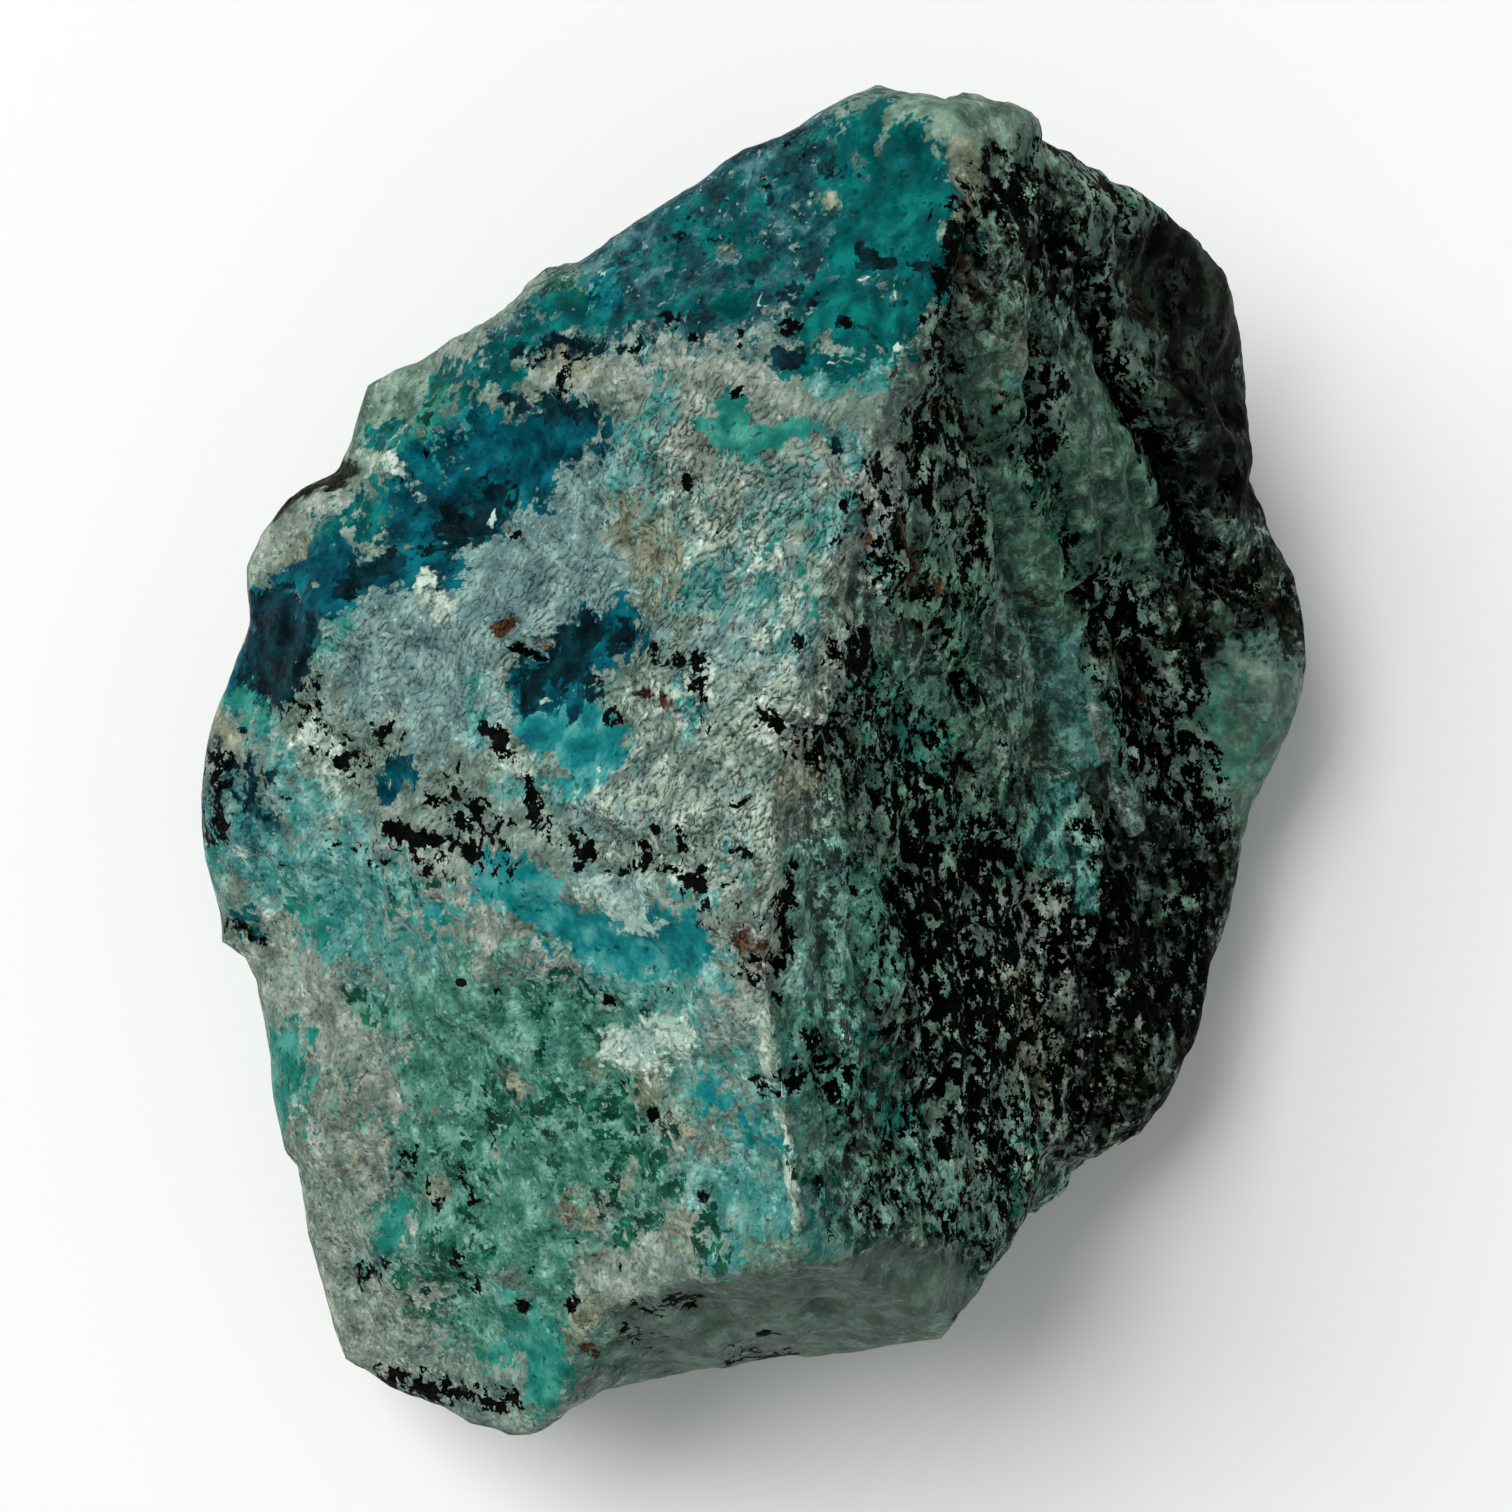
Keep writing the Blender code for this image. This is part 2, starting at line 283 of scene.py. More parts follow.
# scooped dishes: squared distance to the nearest of one random point per lattice cell
def scoopNoise(points, wavelength, seed):
    dice = np.random.RandomState(seed)
    table = dice.permutation(noisePeriod)
    jitter = dice.uniform(size=(noisePeriod, 3))
    scaled = points / wavelength
    cell = np.floor(scaled).astype(int)
    nearest = np.full(len(points), np.inf)
    for step in np.ndindex(3, 3, 3):
        at = cell + step - 1
        away = scaled - at - jitter[shuffled(table, at)]
        nearest = np.minimum(nearest, (away**2).sum(axis=1))
    return nearest


# broad relief in mm: lumps plus two sizes of scoops on bent coordinates, the scoops shallower
# where the rock is foliated
def broadRelief(form, points):
    wavelength, height, seed = form["lumps"]
    rise = height * latticeNoise(points, wavelength, seed)
    foliated = foliation(*seenAt(points))
    for name, keep in form["foliatedShares"].items():
        wavelength, height, seed = form[name]
        shift = form["bend"] * wavelength * latticeNoise(points, wavelength, seed + 1)
        scoops = scoopNoise(points + shift[:, None], wavelength, seed)
        rise = rise + height * (scoops - form["scoopMiddle"]) * (1 - (1 - keep) * foliated)
    return rise


# share of the broad relief kept, small near the rim so that the outline stays as drawn: one, less
# a bell curve of the distance to the rim
def rimCalm(form, points):
    x, y, height = points.T
    angle = np.arctan2(y, x)
    out = np.hypot(x, y) - rimRadius(form, angle)
    gap = np.hypot(out, (height - rimHeight(form, angle)) / form["rimCalmTall"])
    return 1 - (1 - form["rimShare"]) * np.exp(-((gap / form["rimCalm"]) ** 2))


# One mineral's look. Tones are dark, middle and light; edge is how far a patch fades in pixels,
# lobe the size in mm of the largest lobes of its border and ragged their reach, fine the reach of
# the small ones, soft how blurred the border is, and stretch how far the lobes are drawn out.
def mineral(tones, edge, lobe, ragged, fine, soft, stretch=1):
    return {"tones": tones.split(), "edge": edge, "lobe": lobe, "ragged": ragged, "fine": fine,
            "soft": soft, "stretch": stretch}


# Where each mineral lies: they are laid one over another in this order.
minerals = {
    "greyRock": mineral("#3c5246 #5e7a6a #8ba694", 70, 3, 0.34, 1.4, 0.22),
    "seaGreen": mineral("#2a5f50 #46806f #76a896", 80, 2.6, 0.45, 1.8, 0.22),
    "mossGreen": mineral("#284b3a #4e7661 #7ba78f", 70, 2.6, 0.44, 1.8, 0.2),
    "paleCrust": mineral("#506d6b #6b8a86 #91b0aa", 60, 2.6, 0.38, 1.6, 0.24),
    "paleGreen": mineral("#476f60 #6a9787 #8ab5a4", 44, 2, 0.34, 1.5, 0.24),
    "turquoise": mineral("#23706b #488a84 #7fb0a7", 70, 2, 0.48, 2.6, 0.26),
    "matrix": mineral("#5d6b61 #7f8c81 #a4afa2", 60, 2, 0.54, 2.2, 0.28),
    "slate": mineral("#04262b #124a50 #4a7a7d", 60, 1.8, 0.44, 2.2, 0.22),
    "sky": mineral("#2c665d #4a877d #80b3a8", 60, 1.8, 0.44, 2.2, 0.3),
    "teal": mineral("#003738 #014d4c #086b67", 54, 2.2, 0.42, 2, 0.14),
    "jade": mineral("#0f584e #207367 #468f80", 34, 1.4, 0.5, 2.4, 0.1),
    "cyan": mineral("#07555b #147374 #4a928e", 34, 2.2, 0.38, 1.8, 0.1),
    "azure": mineral("#00252e #01424d #06616b", 44, 2.4, 0.4, 1.9, 0.12),
    "navy": mineral("#010d12 #031e24 #0a343c", 40, 1.8, 0.42, 2.2, 0.12),
    "cream": mineral("#7a8f80 #a0b3a3 #c6d5c6", 44, 1.6, 0.44, 2.4, 0.26),
    "tan": mineral("#585c4b #7d836e #a1a890", 44, 1.4, 0.44, 2.2, 0.34),
    "umber": mineral("#0b0c08 #1d211a #3f4c40", 54, 1.8, 0.44, 2.4, 0.32),
    "malachite": mineral("#042a20 #0b4634 #216c55", 60, 1.2, 0.3, 0.9, 0.1),
    "rust": mineral("#24160f #432b1d #6e4f36", 16, 1, 0.3, 1.8, 0.2),
    "white": mineral("#7c9f94 #9cb8aa #c0d2c5", 26, 1.2, 0.34, 1.9, 0.18),
    "seam": mineral("#010202 #030403 #080a08", 60, 1.2, 0.16, 2.6, 0.1, stretch=1.8),
    "duskCrust": mineral("#465a4d #5c7063 #758b7d", 12, 1.6, 0.22, 1, 0.2),
    "black": mineral("#010202 #040605 #0c100e", 26, 1, 0.28, 1.6, 0.06),
    "blueCrust": mineral("#2c685e #4f8f82 #86b6a7", 12, 1, 0.24, 1.2, 0.16),
    # pale ash-grey crust, which on the steep side's rib is partly a painted highlight
    "ashCrustAndHighlight": mineral("#5a7267 #839d90 #a8c0b3", 10, 1, 0.24, 1.2, 0.16),
}

# Strokes and spots drawn in pixels of the view from above: (across, down, radius, fill)
# for a spot and (across, down, across, down, radius, fill) for a stroke. Fill is the share of the
# patch that the mineral covers: 1 is solid, 0.5 is half speckled.
patches = {
    "greyRock": [
        (1100, 300, 1060, 900, 200, 1), (1000, 1000, 900, 1200, 170, 1), (980, 250, 940, 560, 70, 0.9),
        (880, 700, 900, 1100, 90, 0.9), (900, 100, 1010, 130, 42, 1), (985, 150, 975, 205, 24, 1),
        (395, 385, 375, 430, 40, 1), (625, 1352, 930, 1300, 44, 1), (570, 1400, 620, 1375, 18, 0.8),
        (252, 590, 262, 560, 16, 0.8), (440, 860, 500, 900, 32, 0.45), (700, 1330, 900, 1290, 40, 1),
    ],
    "paleCrust": [
        (420, 640, 560, 560, 66, 1), (380, 660, 470, 705, 52, 1), (560, 520, 620, 480, 42, 0.95),
        (600, 560, 560, 610, 40, 0.9), (500, 700, 440, 730, 30, 0.85), (640, 450, 700, 420, 26, 0.6),
        (700, 660, 780, 640, 46, 0.9), (600, 800, 730, 790, 40, 0.8), (700, 560, 820, 600, 44, 0.7),
        (740, 480, 790, 520, 34, 0.6), (350, 620, 400, 590, 30, 0.9), (630, 880, 640, 945, 20, 1),
        (590, 862, 640, 890, 16, 1), (700, 900, 730, 1000, 30, 0.5), (250, 820, 275, 800, 20, 0.55),
        (820, 880, 800, 980, 22, 0.5), (760, 600, 820, 560, 30, 0.45),
    ],
    "turquoise": [
        (325, 795, 360, 820, 22, 0.7), (275, 915, 300, 945, 20, 0.7), (265, 735, 290, 770, 24, 0.7),
        (640, 365, 655, 400, 20, 0.9), (655, 420, 645, 480, 34, 0.8), (720, 500, 850, 560, 50, 0.62),
        (700, 560, 800, 620, 48, 0.6), (830, 460, 850, 520, 28, 0.7), (680, 740, 690, 690, 12, 0.95),
        (600, 770, 560, 790, 18, 0.7), (480, 683, 15, 1), (325, 650, 350, 605, 16, 0.8),
        (240, 850, 340, 900, 46, 0.95), (340, 870, 470, 890, 40, 0.75), (290, 960, 420, 960, 26, 0.6),
        (350, 880, 420, 905, 28, 0.85), (300, 800, 330, 850, 26, 0.8), (520, 790, 560, 770, 22, 0.8),
        (750, 830, 722, 885, 22, 0.95), (690, 960, 740, 990, 26, 0.8), (590, 960, 690, 1000, 22, 0.9),
        (640, 1000, 600, 960, 18, 0.8), (740, 1190, 790, 1225, 36, 0.85),
        (700, 1050, 770, 1060, 22, 0.6), (1062, 830, 1080, 890, 10, 0.4),
        (690, 1220, 720, 1250, 24, 0.8), (470, 740, 480, 720, 14, 0.7), (780, 500, 800, 480, 30, 0.5),
        (830, 380, 870, 372, 22, 0.9),
    ],
    "seaGreen": [
        (640, 1220, 660, 1240, 22, 0.8), (400, 1010, 600, 1010, 56, 1), (430, 1100, 600, 1100, 86, 1),
        (430, 1230, 580, 1200, 80, 0.95), (480, 1310, 560, 1330, 44, 0.9),
        (360, 985, 380, 960, 26, 0.6), (660, 1060, 640, 1020, 30, 0.6), (835, 900, 830, 1080, 50, 1),
        (815, 1130, 850, 1240, 44, 1), (900, 690, 940, 740, 40, 0.7), (360, 930, 400, 960, 24, 0.6),
        (1180, 200, 1130, 190, 20, 0.4), (1060, 640, 1085, 760, 34, 0.6), (870, 600, 840, 660, 24, 0.5),
        (1245, 660, 1250, 760, 40, 0.6), (1250, 640, 1270, 760, 30, 0.5),
    ],
    "mossGreen": [
        (985, 380, 1040, 560, 44, 0.8), (1120, 420, 1150, 540, 44, 0.8),
        (1060, 470, 1080, 600, 40, 0.8), (940, 570, 970, 730, 34, 0.85), (880, 760, 990, 850, 44, 0.75),
        (1000, 780, 1030, 870, 30, 0.8), (890, 1130, 950, 1240, 40, 0.7),
        (1100, 600, 1060, 640, 30, 0.6), (900, 1230, 960, 1280, 30, 0.6),
        (1130, 850, 1190, 1000, 40, 0.4), (1185, 215, 1215, 330, 30, 0.35),
    ],
    "paleGreen": [
        (800, 900, 850, 1060, 36, 0.5), (800, 1140, 860, 1240, 40, 0.8),
        (1040, 780, 1078, 885, 14, 0.9), (800, 870, 830, 950, 26, 0.8),
        (870, 1140, 960, 1220, 44, 0.45), (1040, 640, 1090, 750, 30, 0.8),
        (1275, 640, 1285, 690, 12, 0.5), (1045, 940, 1055, 1090, 22, 0.7),
        (1030, 1100, 1080, 1110, 26, 0.6), (1190, 880, 1210, 980, 22, 0.45),
        (1000, 700, 1040, 690, 22, 0.5), (790, 860, 800, 1000, 14, 0.7),
        (1000, 1130, 1040, 1150, 20, 0.5), (1065, 300, 1085, 360, 22, 0.6),
    ],
    "jade": [
        (722, 418, 736, 402, 18, 1), (736, 436, 800, 428, 16, 0.95), (540, 1345, 548, 1392, 28, 0.95),
        (500, 1350, 520, 1310, 22, 0.6), (250, 700, 235, 690, 26, 0.9), (445, 395, 430, 430, 16, 0.8),
        (290, 1035, 290, 1120, 16, 0.7), (870, 1040, 900, 1120, 26, 0.5), (840, 690, 930, 750, 24, 0.4),
        (405, 450, 395, 480, 16, 0.8), (450, 930, 400, 925, 18, 0.5), (800, 1250, 820, 1180, 16, 0.5),
        (290, 880, 320, 930, 18, 0.5), (780, 560, 840, 600, 20, 0.45), (380, 1250, 395, 1210, 14, 0.8),
    ],
    "teal": [
        (445, 385, 500, 375, 26, 0.8), (385, 440, 430, 460, 24, 0.75), (505, 345, 550, 325, 20, 0.6),
        (900, 175, 890, 250, 42, 1), (925, 225, 908, 318, 22, 1), (870, 110, 872, 150, 14, 1),
        (305, 560, 385, 500, 24, 0.8), (440, 450, 400, 470, 18, 0.8), (860, 245, 940, 260, 38, 1),
        (850, 300, 882, 332, 36, 1), (915, 150, 930, 200, 30, 0.95), (850, 135, 880, 105, 22, 0.9),
        (727, 305, 20, 1), (790, 360, 850, 372, 18, 0.85), (640, 320, 700, 300, 26, 0.6),
        (570, 300, 640, 320, 24, 0.8), (660, 200, 700, 215, 18, 0.6), (800, 140, 830, 130, 16, 0.6),
        (760, 250, 16, 0.6), (830, 200, 880, 190, 34, 0.7), (780, 250, 790, 220, 30, 0.5),
        (230, 700, 250, 670, 22, 0.8), (550, 310, 620, 300, 22, 0.7), (240, 920, 260, 940, 14, 0.6),
        (650, 290, 800, 200, 56, 0.4),
    ],
    "slate": [
        (515, 335, 560, 325, 22, 0.75), (640, 275, 790, 160, 64, 1), (700, 230, 820, 150, 40, 1),
        (690, 310, 840, 230, 48, 0.95), (560, 330, 650, 330, 30, 0.8), (830, 160, 860, 170, 30, 0.7),
        (830, 445, 850, 440, 16, 0.6), (235, 790, 260, 830, 26, 0.6), (760, 330, 800, 320, 22, 0.7),
    ],
    "cyan": [
        (545, 722, 590, 745, 30, 1), (530, 700, 525, 715, 16, 0.9), (570, 775, 590, 765, 20, 0.9),
        (500, 882, 540, 905, 28, 1), (560, 925, 600, 940, 26, 0.9), (620, 950, 672, 950, 32, 1),
        (680, 900, 688, 930, 16, 0.7), (432, 915, 10, 1), (672, 690, 675, 716, 8, 0.9),
        (590, 292, 610, 285, 20, 0.7), (440, 460, 480, 430, 26, 0.5), (710, 1100, 760, 1150, 34, 0.42),
        (660, 915, 670, 930, 14, 0.9),
    ],
    "sky": [
        (700, 1090, 760, 1150, 40, 0.6), (740, 1060, 770, 1090, 20, 0.7),
        (600, 985, 700, 1010, 20, 0.7), (1060, 640, 1085, 760, 26, 0.62), (560, 700, 600, 690, 14, 0.5),
        (690, 1180, 730, 1210, 24, 0.6), (285, 1050, 290, 1110, 12, 0.7),
    ],
    "azure": [
        (385, 562, 430, 545, 30, 1), (420, 455, 400, 475, 16, 0.85), (300, 575, 330, 560, 22, 0.9),
        (310, 600, 30, 1), (490, 455, 556, 438, 42, 1), (430, 515, 530, 478, 36, 1),
        (400, 550, 320, 598, 24, 1), (290, 615, 255, 660, 36, 1), (400, 780, 400, 772, 18, 0.95),
        (615, 622, 540, 695, 27, 1), (600, 290, 620, 300, 18, 0.6), (420, 470, 400, 500, 20, 0.7),
    ],
    "navy": [
        (575, 665, 590, 690, 14, 0.8), (395, 552, 345, 585, 14, 0.95), (500, 495, 440, 525, 18, 0.85),
        (270, 605, 282, 670, 24, 1), (250, 640, 275, 690, 22, 0.9), (515, 398, 585, 418, 14, 0.7),
        (592, 630, 535, 695, 20, 0.9), (618, 618, 608, 640, 14, 0.8), (520, 348, 640, 347, 10, 0.8),
        (830, 168, 16, 0.7), (800, 290, 14, 0.7), (690, 235, 20, 0.5), (780, 350, 800, 355, 14, 0.6),
        (550, 1000, 5, 0.9), (230, 760, 255, 800, 22, 0.5), (835, 450, 12, 0.6),
        (760, 140, 800, 130, 12, 0.6), (860, 252, 888, 258, 6, 1), (912, 260, 930, 262, 6, 0.9),
        (845, 322, 855, 326, 7, 0.8), (770, 200, 12, 0.6), (820, 300, 10, 0.6), (870, 180, 9, 0.5),
        (740, 280, 9, 0.5), (905, 300, 6, 0.5),
    ],
    "malachite": [
        (640, 1225, 14, 0.5), (460, 1160, 480, 1180, 22, 0.4), (350, 990, 380, 1005, 12, 0.6),
        (530, 990, 550, 1030, 12, 0.6), (435, 1235, 450, 1290, 14, 0.6), (400, 1280, 10, 0.6),
        (500, 1105, 640, 1120, 44, 0.3), (620, 1110, 650, 1170, 30, 0.35), (513, 1112, 14, 0.9),
        (525, 1112, 552, 1108, 9, 0.85), (577, 1098, 9, 0.95), (605, 1107, 10, 1), (627, 1110, 8, 0.8),
        (648, 1142, 12, 0.85), (646, 1167, 14, 0.95), (663, 1185, 8, 0.9),
        (606, 1165, 612, 1148, 7, 0.9), (537, 1133, 14, 0.7), (625, 1233, 14, 0.85),
        (495, 1090, 8, 0.8), (545, 1057, 7, 0.7), (473, 1227, 8, 0.7), (433, 1237, 8, 0.7),
        (560, 1150, 600, 1180, 40, 0.25), (555, 285, 20, 0.65), (430, 1300, 470, 1240, 30, 0.35),
        (560, 1000, 640, 1040, 34, 0.25), (700, 1220, 710, 1260, 16, 0.6),
        (900, 1080, 880, 1240, 50, 0.22), (960, 620, 975, 700, 14, 0.5), (400, 900, 440, 880, 20, 0.3),
        (1040, 1180, 950, 1290, 40, 0.45), (440, 385, 425, 420, 10, 0.6),
        (820, 1200, 790, 1160, 12, 0.5), (1030, 480, 1060, 520, 20, 0.35),
    ],
    "matrix": [
        (690, 760, 620, 800, 36, 0.4), (1050, 930, 1080, 1120, 66, 0.7), (700, 350, 760, 385, 34, 0.9),
        (700, 400, 690, 470, 22, 0.9), (560, 375, 625, 385, 28, 0.95), (780, 370, 790, 400, 22, 0.8),
        (345, 553, 15, 1), (290, 520, 340, 500, 20, 0.9), (265, 560, 270, 540, 14, 0.9),
        (420, 830, 490, 905, 34, 0.75), (420, 925, 520, 935, 18, 0.8), (520, 935, 600, 992, 18, 0.8),
        (265, 955, 330, 1000, 34, 0.85), (345, 1030, 352, 1200, 48, 0.78),
        (330, 1250, 400, 1335, 48, 0.74), (320, 1180, 350, 1330, 40, 0.78),
        (590, 1200, 600, 1260, 20, 0.8), (670, 1235, 610, 1290, 28, 0.78),
        (640, 1070, 690, 1175, 18, 0.85), (700, 800, 760, 870, 30, 0.6), (275, 930, 290, 925, 16, 0.8),
        (450, 355, 520, 335, 14, 0.9), (900, 430, 860, 560, 18, 0.7), (740, 920, 760, 1010, 26, 0.7),
        (866, 480, 850, 560, 10, 0.9), (850, 560, 822, 680, 13, 1), (822, 680, 782, 760, 14, 1),
        (782, 760, 774, 860, 9, 0.8), (720, 490, 715, 520, 22, 0.6), (840, 480, 810, 450, 14, 0.6),
        (600, 1380, 560, 1415, 12, 0.9), (780, 560, 860, 500, 12, 0.4),
    ],
    "cream": [
        (620, 790, 725, 800, 30, 0.6), (740, 745, 776, 695, 30, 0.85), (770, 790, 765, 850, 16, 0.6),
        (505, 760, 530, 800, 20, 0.5), (310, 740, 340, 780, 22, 0.6), (640, 700, 700, 720, 24, 0.5),
        (765, 1010, 790, 1230, 8, 0.8), (440, 600, 430, 580, 16, 0.7), (395, 470, 370, 460, 10, 0.8),
        (640, 850, 720, 880, 22, 0.5), (775, 880, 770, 960, 14, 0.7), (1008, 975, 1048, 1090, 18, 0.6),
        (720, 520, 840, 590, 50, 0.42), (690, 700, 760, 680, 34, 0.5), (760, 640, 810, 600, 26, 0.45),
    ],
    "tan": [
        (965, 140, 968, 215, 11, 0.85), (640, 520, 672, 570, 26, 0.75), (655, 600, 12, 0.5),
        (300, 545, 280, 560, 10, 0.6), (640, 1100, 660, 1130, 14, 0.6), (800, 765, 792, 800, 14, 0.8),
        (830, 205, 12, 0.8), (560, 365, 590, 372, 16, 0.5), (340, 1080, 350, 1160, 18, 0.3),
        (605, 1300, 580, 1340, 12, 0.7), (720, 250, 8, 0.7), (520, 1087, 14, 0.7), (593, 1065, 13, 0.8),
        (650, 1088, 18, 0.8), (677, 1137, 12, 0.8), (425, 1113, 12, 0.6), (577, 1205, 20, 0.7),
        (617, 1177, 10, 0.6), (443, 1200, 16, 0.7), (502, 1148, 8, 0.7), (672, 1233, 24, 0.5),
        (1120, 1040, 1140, 1080, 24, 0.6), (1020, 990, 1040, 1070, 28, 0.8),
        (1070, 1100, 1110, 1090, 22, 0.6), (1000, 330, 995, 380, 10, 0.5),
        (215, 720, 225, 745, 10, 0.7),
    ],
    "umber": [
        (1170, 598, 1200, 640, 30, 0.8), (1215, 545, 1260, 620, 28, 0.75), (258, 518, 345, 468, 9, 1),
        (1180, 260, 1212, 330, 60, 1), (1196, 330, 1236, 470, 50, 1), (1220, 430, 1245, 500, 34, 1),
        (1270, 560, 1295, 625, 32, 0.85), (1120, 650, 1150, 710, 22, 0.6),
        (1170, 880, 1130, 1080, 80, 0.7), (1000, 190, 1080, 310, 34, 0.6),
        (1180, 480, 1200, 560, 24, 0.7), (1080, 700, 1100, 690, 16, 0.4),
        (980, 220, 1000, 300, 26, 0.5), (400, 1180, 16, 0.5), (375, 1272, 16, 0.5),
        (1050, 200, 1090, 260, 30, 0.5),
    ],
    "rust": [
        (510, 620, 13, 1), (640, 697, 665, 712, 9, 0.7), (897, 372, 6, 0.95), (545, 645, 7, 0.6),
        (740, 935, 765, 960, 12, 0.55), (962, 392, 978, 442, 10, 0.6), (900, 530, 932, 588, 12, 0.65),
        (1135, 280, 1150, 310, 15, 0.35), (1225, 410, 1245, 450, 14, 0.22),
        (975, 265, 985, 305, 8, 0.4), (590, 1352, 9, 0.8), (612, 1322, 6, 0.7),
        (1010, 592, 1045, 597, 6, 0.5), (1125, 655, 1145, 700, 14, 0.45),
        (1260, 590, 1285, 610, 16, 0.3), (1010, 1000, 1035, 1020, 12, 0.4), (755, 720, 8, 0.4),
        (860, 510, 870, 560, 8, 0.4), (690, 700, 8, 0.4), (312, 1350, 8, 0.5),
    ],
    "white": [
        (612, 885, 640, 925, 18, 0.85), (655, 880, 14, 0.6), (620, 1045, 685, 1038, 24, 0.9),
        # the tiny specks in the teal and slate area are partly white grains and partly painted glints
        (655, 1062, 20, 0.7), (895, 352, 7, 1), (830, 367, 866, 366, 3, 0.6), (705, 190, 6, 0.5),
        (757, 302, 765, 286, 3, 0.5), (684, 203, 4, 0.6), (723, 206, 722, 222, 3, 0.3),
        (748, 240, 3, 0.6), (800, 262, 4, 0.6), (893, 284, 896, 292, 3, 0.9), (640, 300, 4, 0.5),
        (232, 850, 9, 0.8), (270, 918, 8, 0.7), (600, 270, 5, 0.5), (490, 515, 6, 0.6),
        (865, 272, 5, 0.8), (300, 1110, 6, 0.5), (540, 712, 560, 706, 3, 0.4), (770, 305, 5, 0.5),
    ],
    "black": [
        # left faces
        (765, 185, 8, 0.75), (857, 157, 10, 0.6), (796, 146, 9, 0.5), (719, 238, 7, 0.6),
        (800, 328, 8, 0.8), (690, 170, 700, 160, 6, 0.4), (640, 250, 6, 0.4), (870, 168, 6, 0.5),
        (850, 325, 7, 0.5), (310, 700, 340, 752, 24, 0.42), (385, 735, 362, 765, 18, 0.4),
        (392, 822, 428, 832, 11, 1), (452, 790, 486, 856, 20, 0.55), (470, 850, 500, 870, 14, 0.65),
        (492, 738, 504, 758, 11, 0.85), (522, 780, 526, 820, 9, 0.7), (545, 822, 640, 858, 14, 0.5),
        (586, 857, 11, 0.9), (640, 852, 704, 886, 11, 0.65), (690, 828, 692, 842, 9, 0.85),
        (656, 828, 6, 0.8), (745, 852, 8, 0.95), (750, 797, 7, 0.95), (800, 640, 9, 0.75),
        (796, 600, 6, 0.8), (687, 480, 8, 0.85), (740, 383, 6, 0.95), (665, 318, 9, 0.9),
        (690, 334, 6, 0.85), (745, 342, 6, 0.9), (790, 332, 812, 322, 8, 0.8), (812, 345, 5, 0.8),
        (658, 650, 700, 672, 12, 0.65), (690, 690, 700, 728, 10, 0.6), (752, 714, 766, 724, 10, 0.7),
        (605, 712, 612, 722, 7, 0.85), (524, 648, 546, 662, 6, 0.9), (218, 768, 212, 830, 11, 0.8),
        (232, 925, 262, 948, 8, 0.85), (285, 870, 6, 0.7), (215, 935, 8, 0.7),
        (500, 360, 650, 352, 8, 0.22), (575, 375, 560, 395, 8, 0.5), (420, 455, 400, 478, 6, 0.6),
        (430, 425, 5, 0.8), (520, 532, 508, 536, 5, 0.9), (835, 503, 852, 492, 6, 0.6),
        (826, 540, 862, 500, 6, 0.5), (720, 530, 5, 0.5), (745, 330, 5, 0.6),
        (760, 700, 790, 770, 10, 0.25), (780, 905, 790, 935, 9, 0.6), (745, 945, 765, 965, 12, 0.45),
        (668, 1004, 8, 0.9), (600, 1006, 7, 0.9), (472, 988, 6, 1), (502, 992, 5, 0.95),
        (450, 985, 4, 0.6), (622, 1082, 6, 0.85), (651, 1118, 8, 0.9), (683, 1132, 6, 0.9),
        (498, 1140, 9, 0.7), (420, 1160, 412, 1172, 10, 0.6), (437, 1188, 6, 0.6),
        (466, 1178, 480, 1210, 9, 0.6), (440, 1200, 12, 0.4), (374, 1275, 14, 0.5),
        (455, 1265, 470, 1290, 9, 0.6), (575, 1242, 5, 0.8), (530, 1268, 7, 0.5), (522, 1306, 8, 0.6),
        (578, 1302, 9, 0.75), (616, 1265, 6, 0.6), (340, 1362, 10, 0.6),
        (360, 1376, 400, 1384, 14, 0.6), (405, 1385, 505, 1398, 15, 0.72),
        (760, 1085, 790, 1080, 14, 0.4), (700, 880, 760, 960, 30, 0.25), (350, 840, 440, 870, 26, 0.2),
        (628, 1074, 5, 0.9), (661, 1078, 5, 0.7), (692, 1200, 8, 0.5),
        # ledge
        (640, 1312, 700, 1318, 9, 0.6), (630, 1335, 660, 1345, 9, 0.5), (735, 1357, 800, 1350, 9, 0.75),
    ],
    "seam": [
        (1100, 590, 1140, 650, 28, 0.72), (1160, 600, 1195, 645, 24, 0.5),
        (1120, 700, 1150, 760, 22, 0.8), (880, 480, 900, 540, 22, 0.65),
        (985, 845, 1005, 945, 34, 0.82), (930, 1140, 960, 1190, 24, 0.5),
        # beside the ridge and down the steep side
        (962, 215, 950, 330, 22, 0.7), (1005, 190, 1085, 280, 38, 0.76), (945, 330, 955, 425, 20, 0.7),
        (930, 420, 900, 520, 20, 0.62), (966, 430, 976, 545, 18, 0.62), (880, 520, 905, 600, 18, 0.6),
        (850, 650, 880, 730, 26, 0.64), (820, 745, 880, 800, 30, 0.62), (900, 740, 965, 830, 34, 0.66),
        (935, 600, 965, 700, 18, 0.55), (895, 800, 960, 900, 42, 0.66), (925, 900, 975, 1045, 54, 0.84),
        (990, 860, 1060, 960, 44, 0.66), (1088, 835, 1125, 910, 28, 0.78),
        (1090, 920, 1180, 1000, 56, 0.74), (1130, 1000, 1100, 1100, 44, 0.7),
        (960, 1080, 1010, 1150, 40, 0.68), (800, 1045, 848, 1100, 18, 0.36),
        (808, 1040, 818, 1090, 10, 0.6), (900, 1140, 880, 1205, 24, 0.5),
        (990, 1170, 1020, 1240, 28, 0.62), (1150, 680, 1180, 780, 34, 0.7),
        (1106, 310, 1126, 385, 12, 0.76), (1126, 385, 1182, 487, 13, 0.8),
        (1182, 487, 1202, 565, 14, 0.8), (1190, 560, 1280, 600, 26, 0.55),
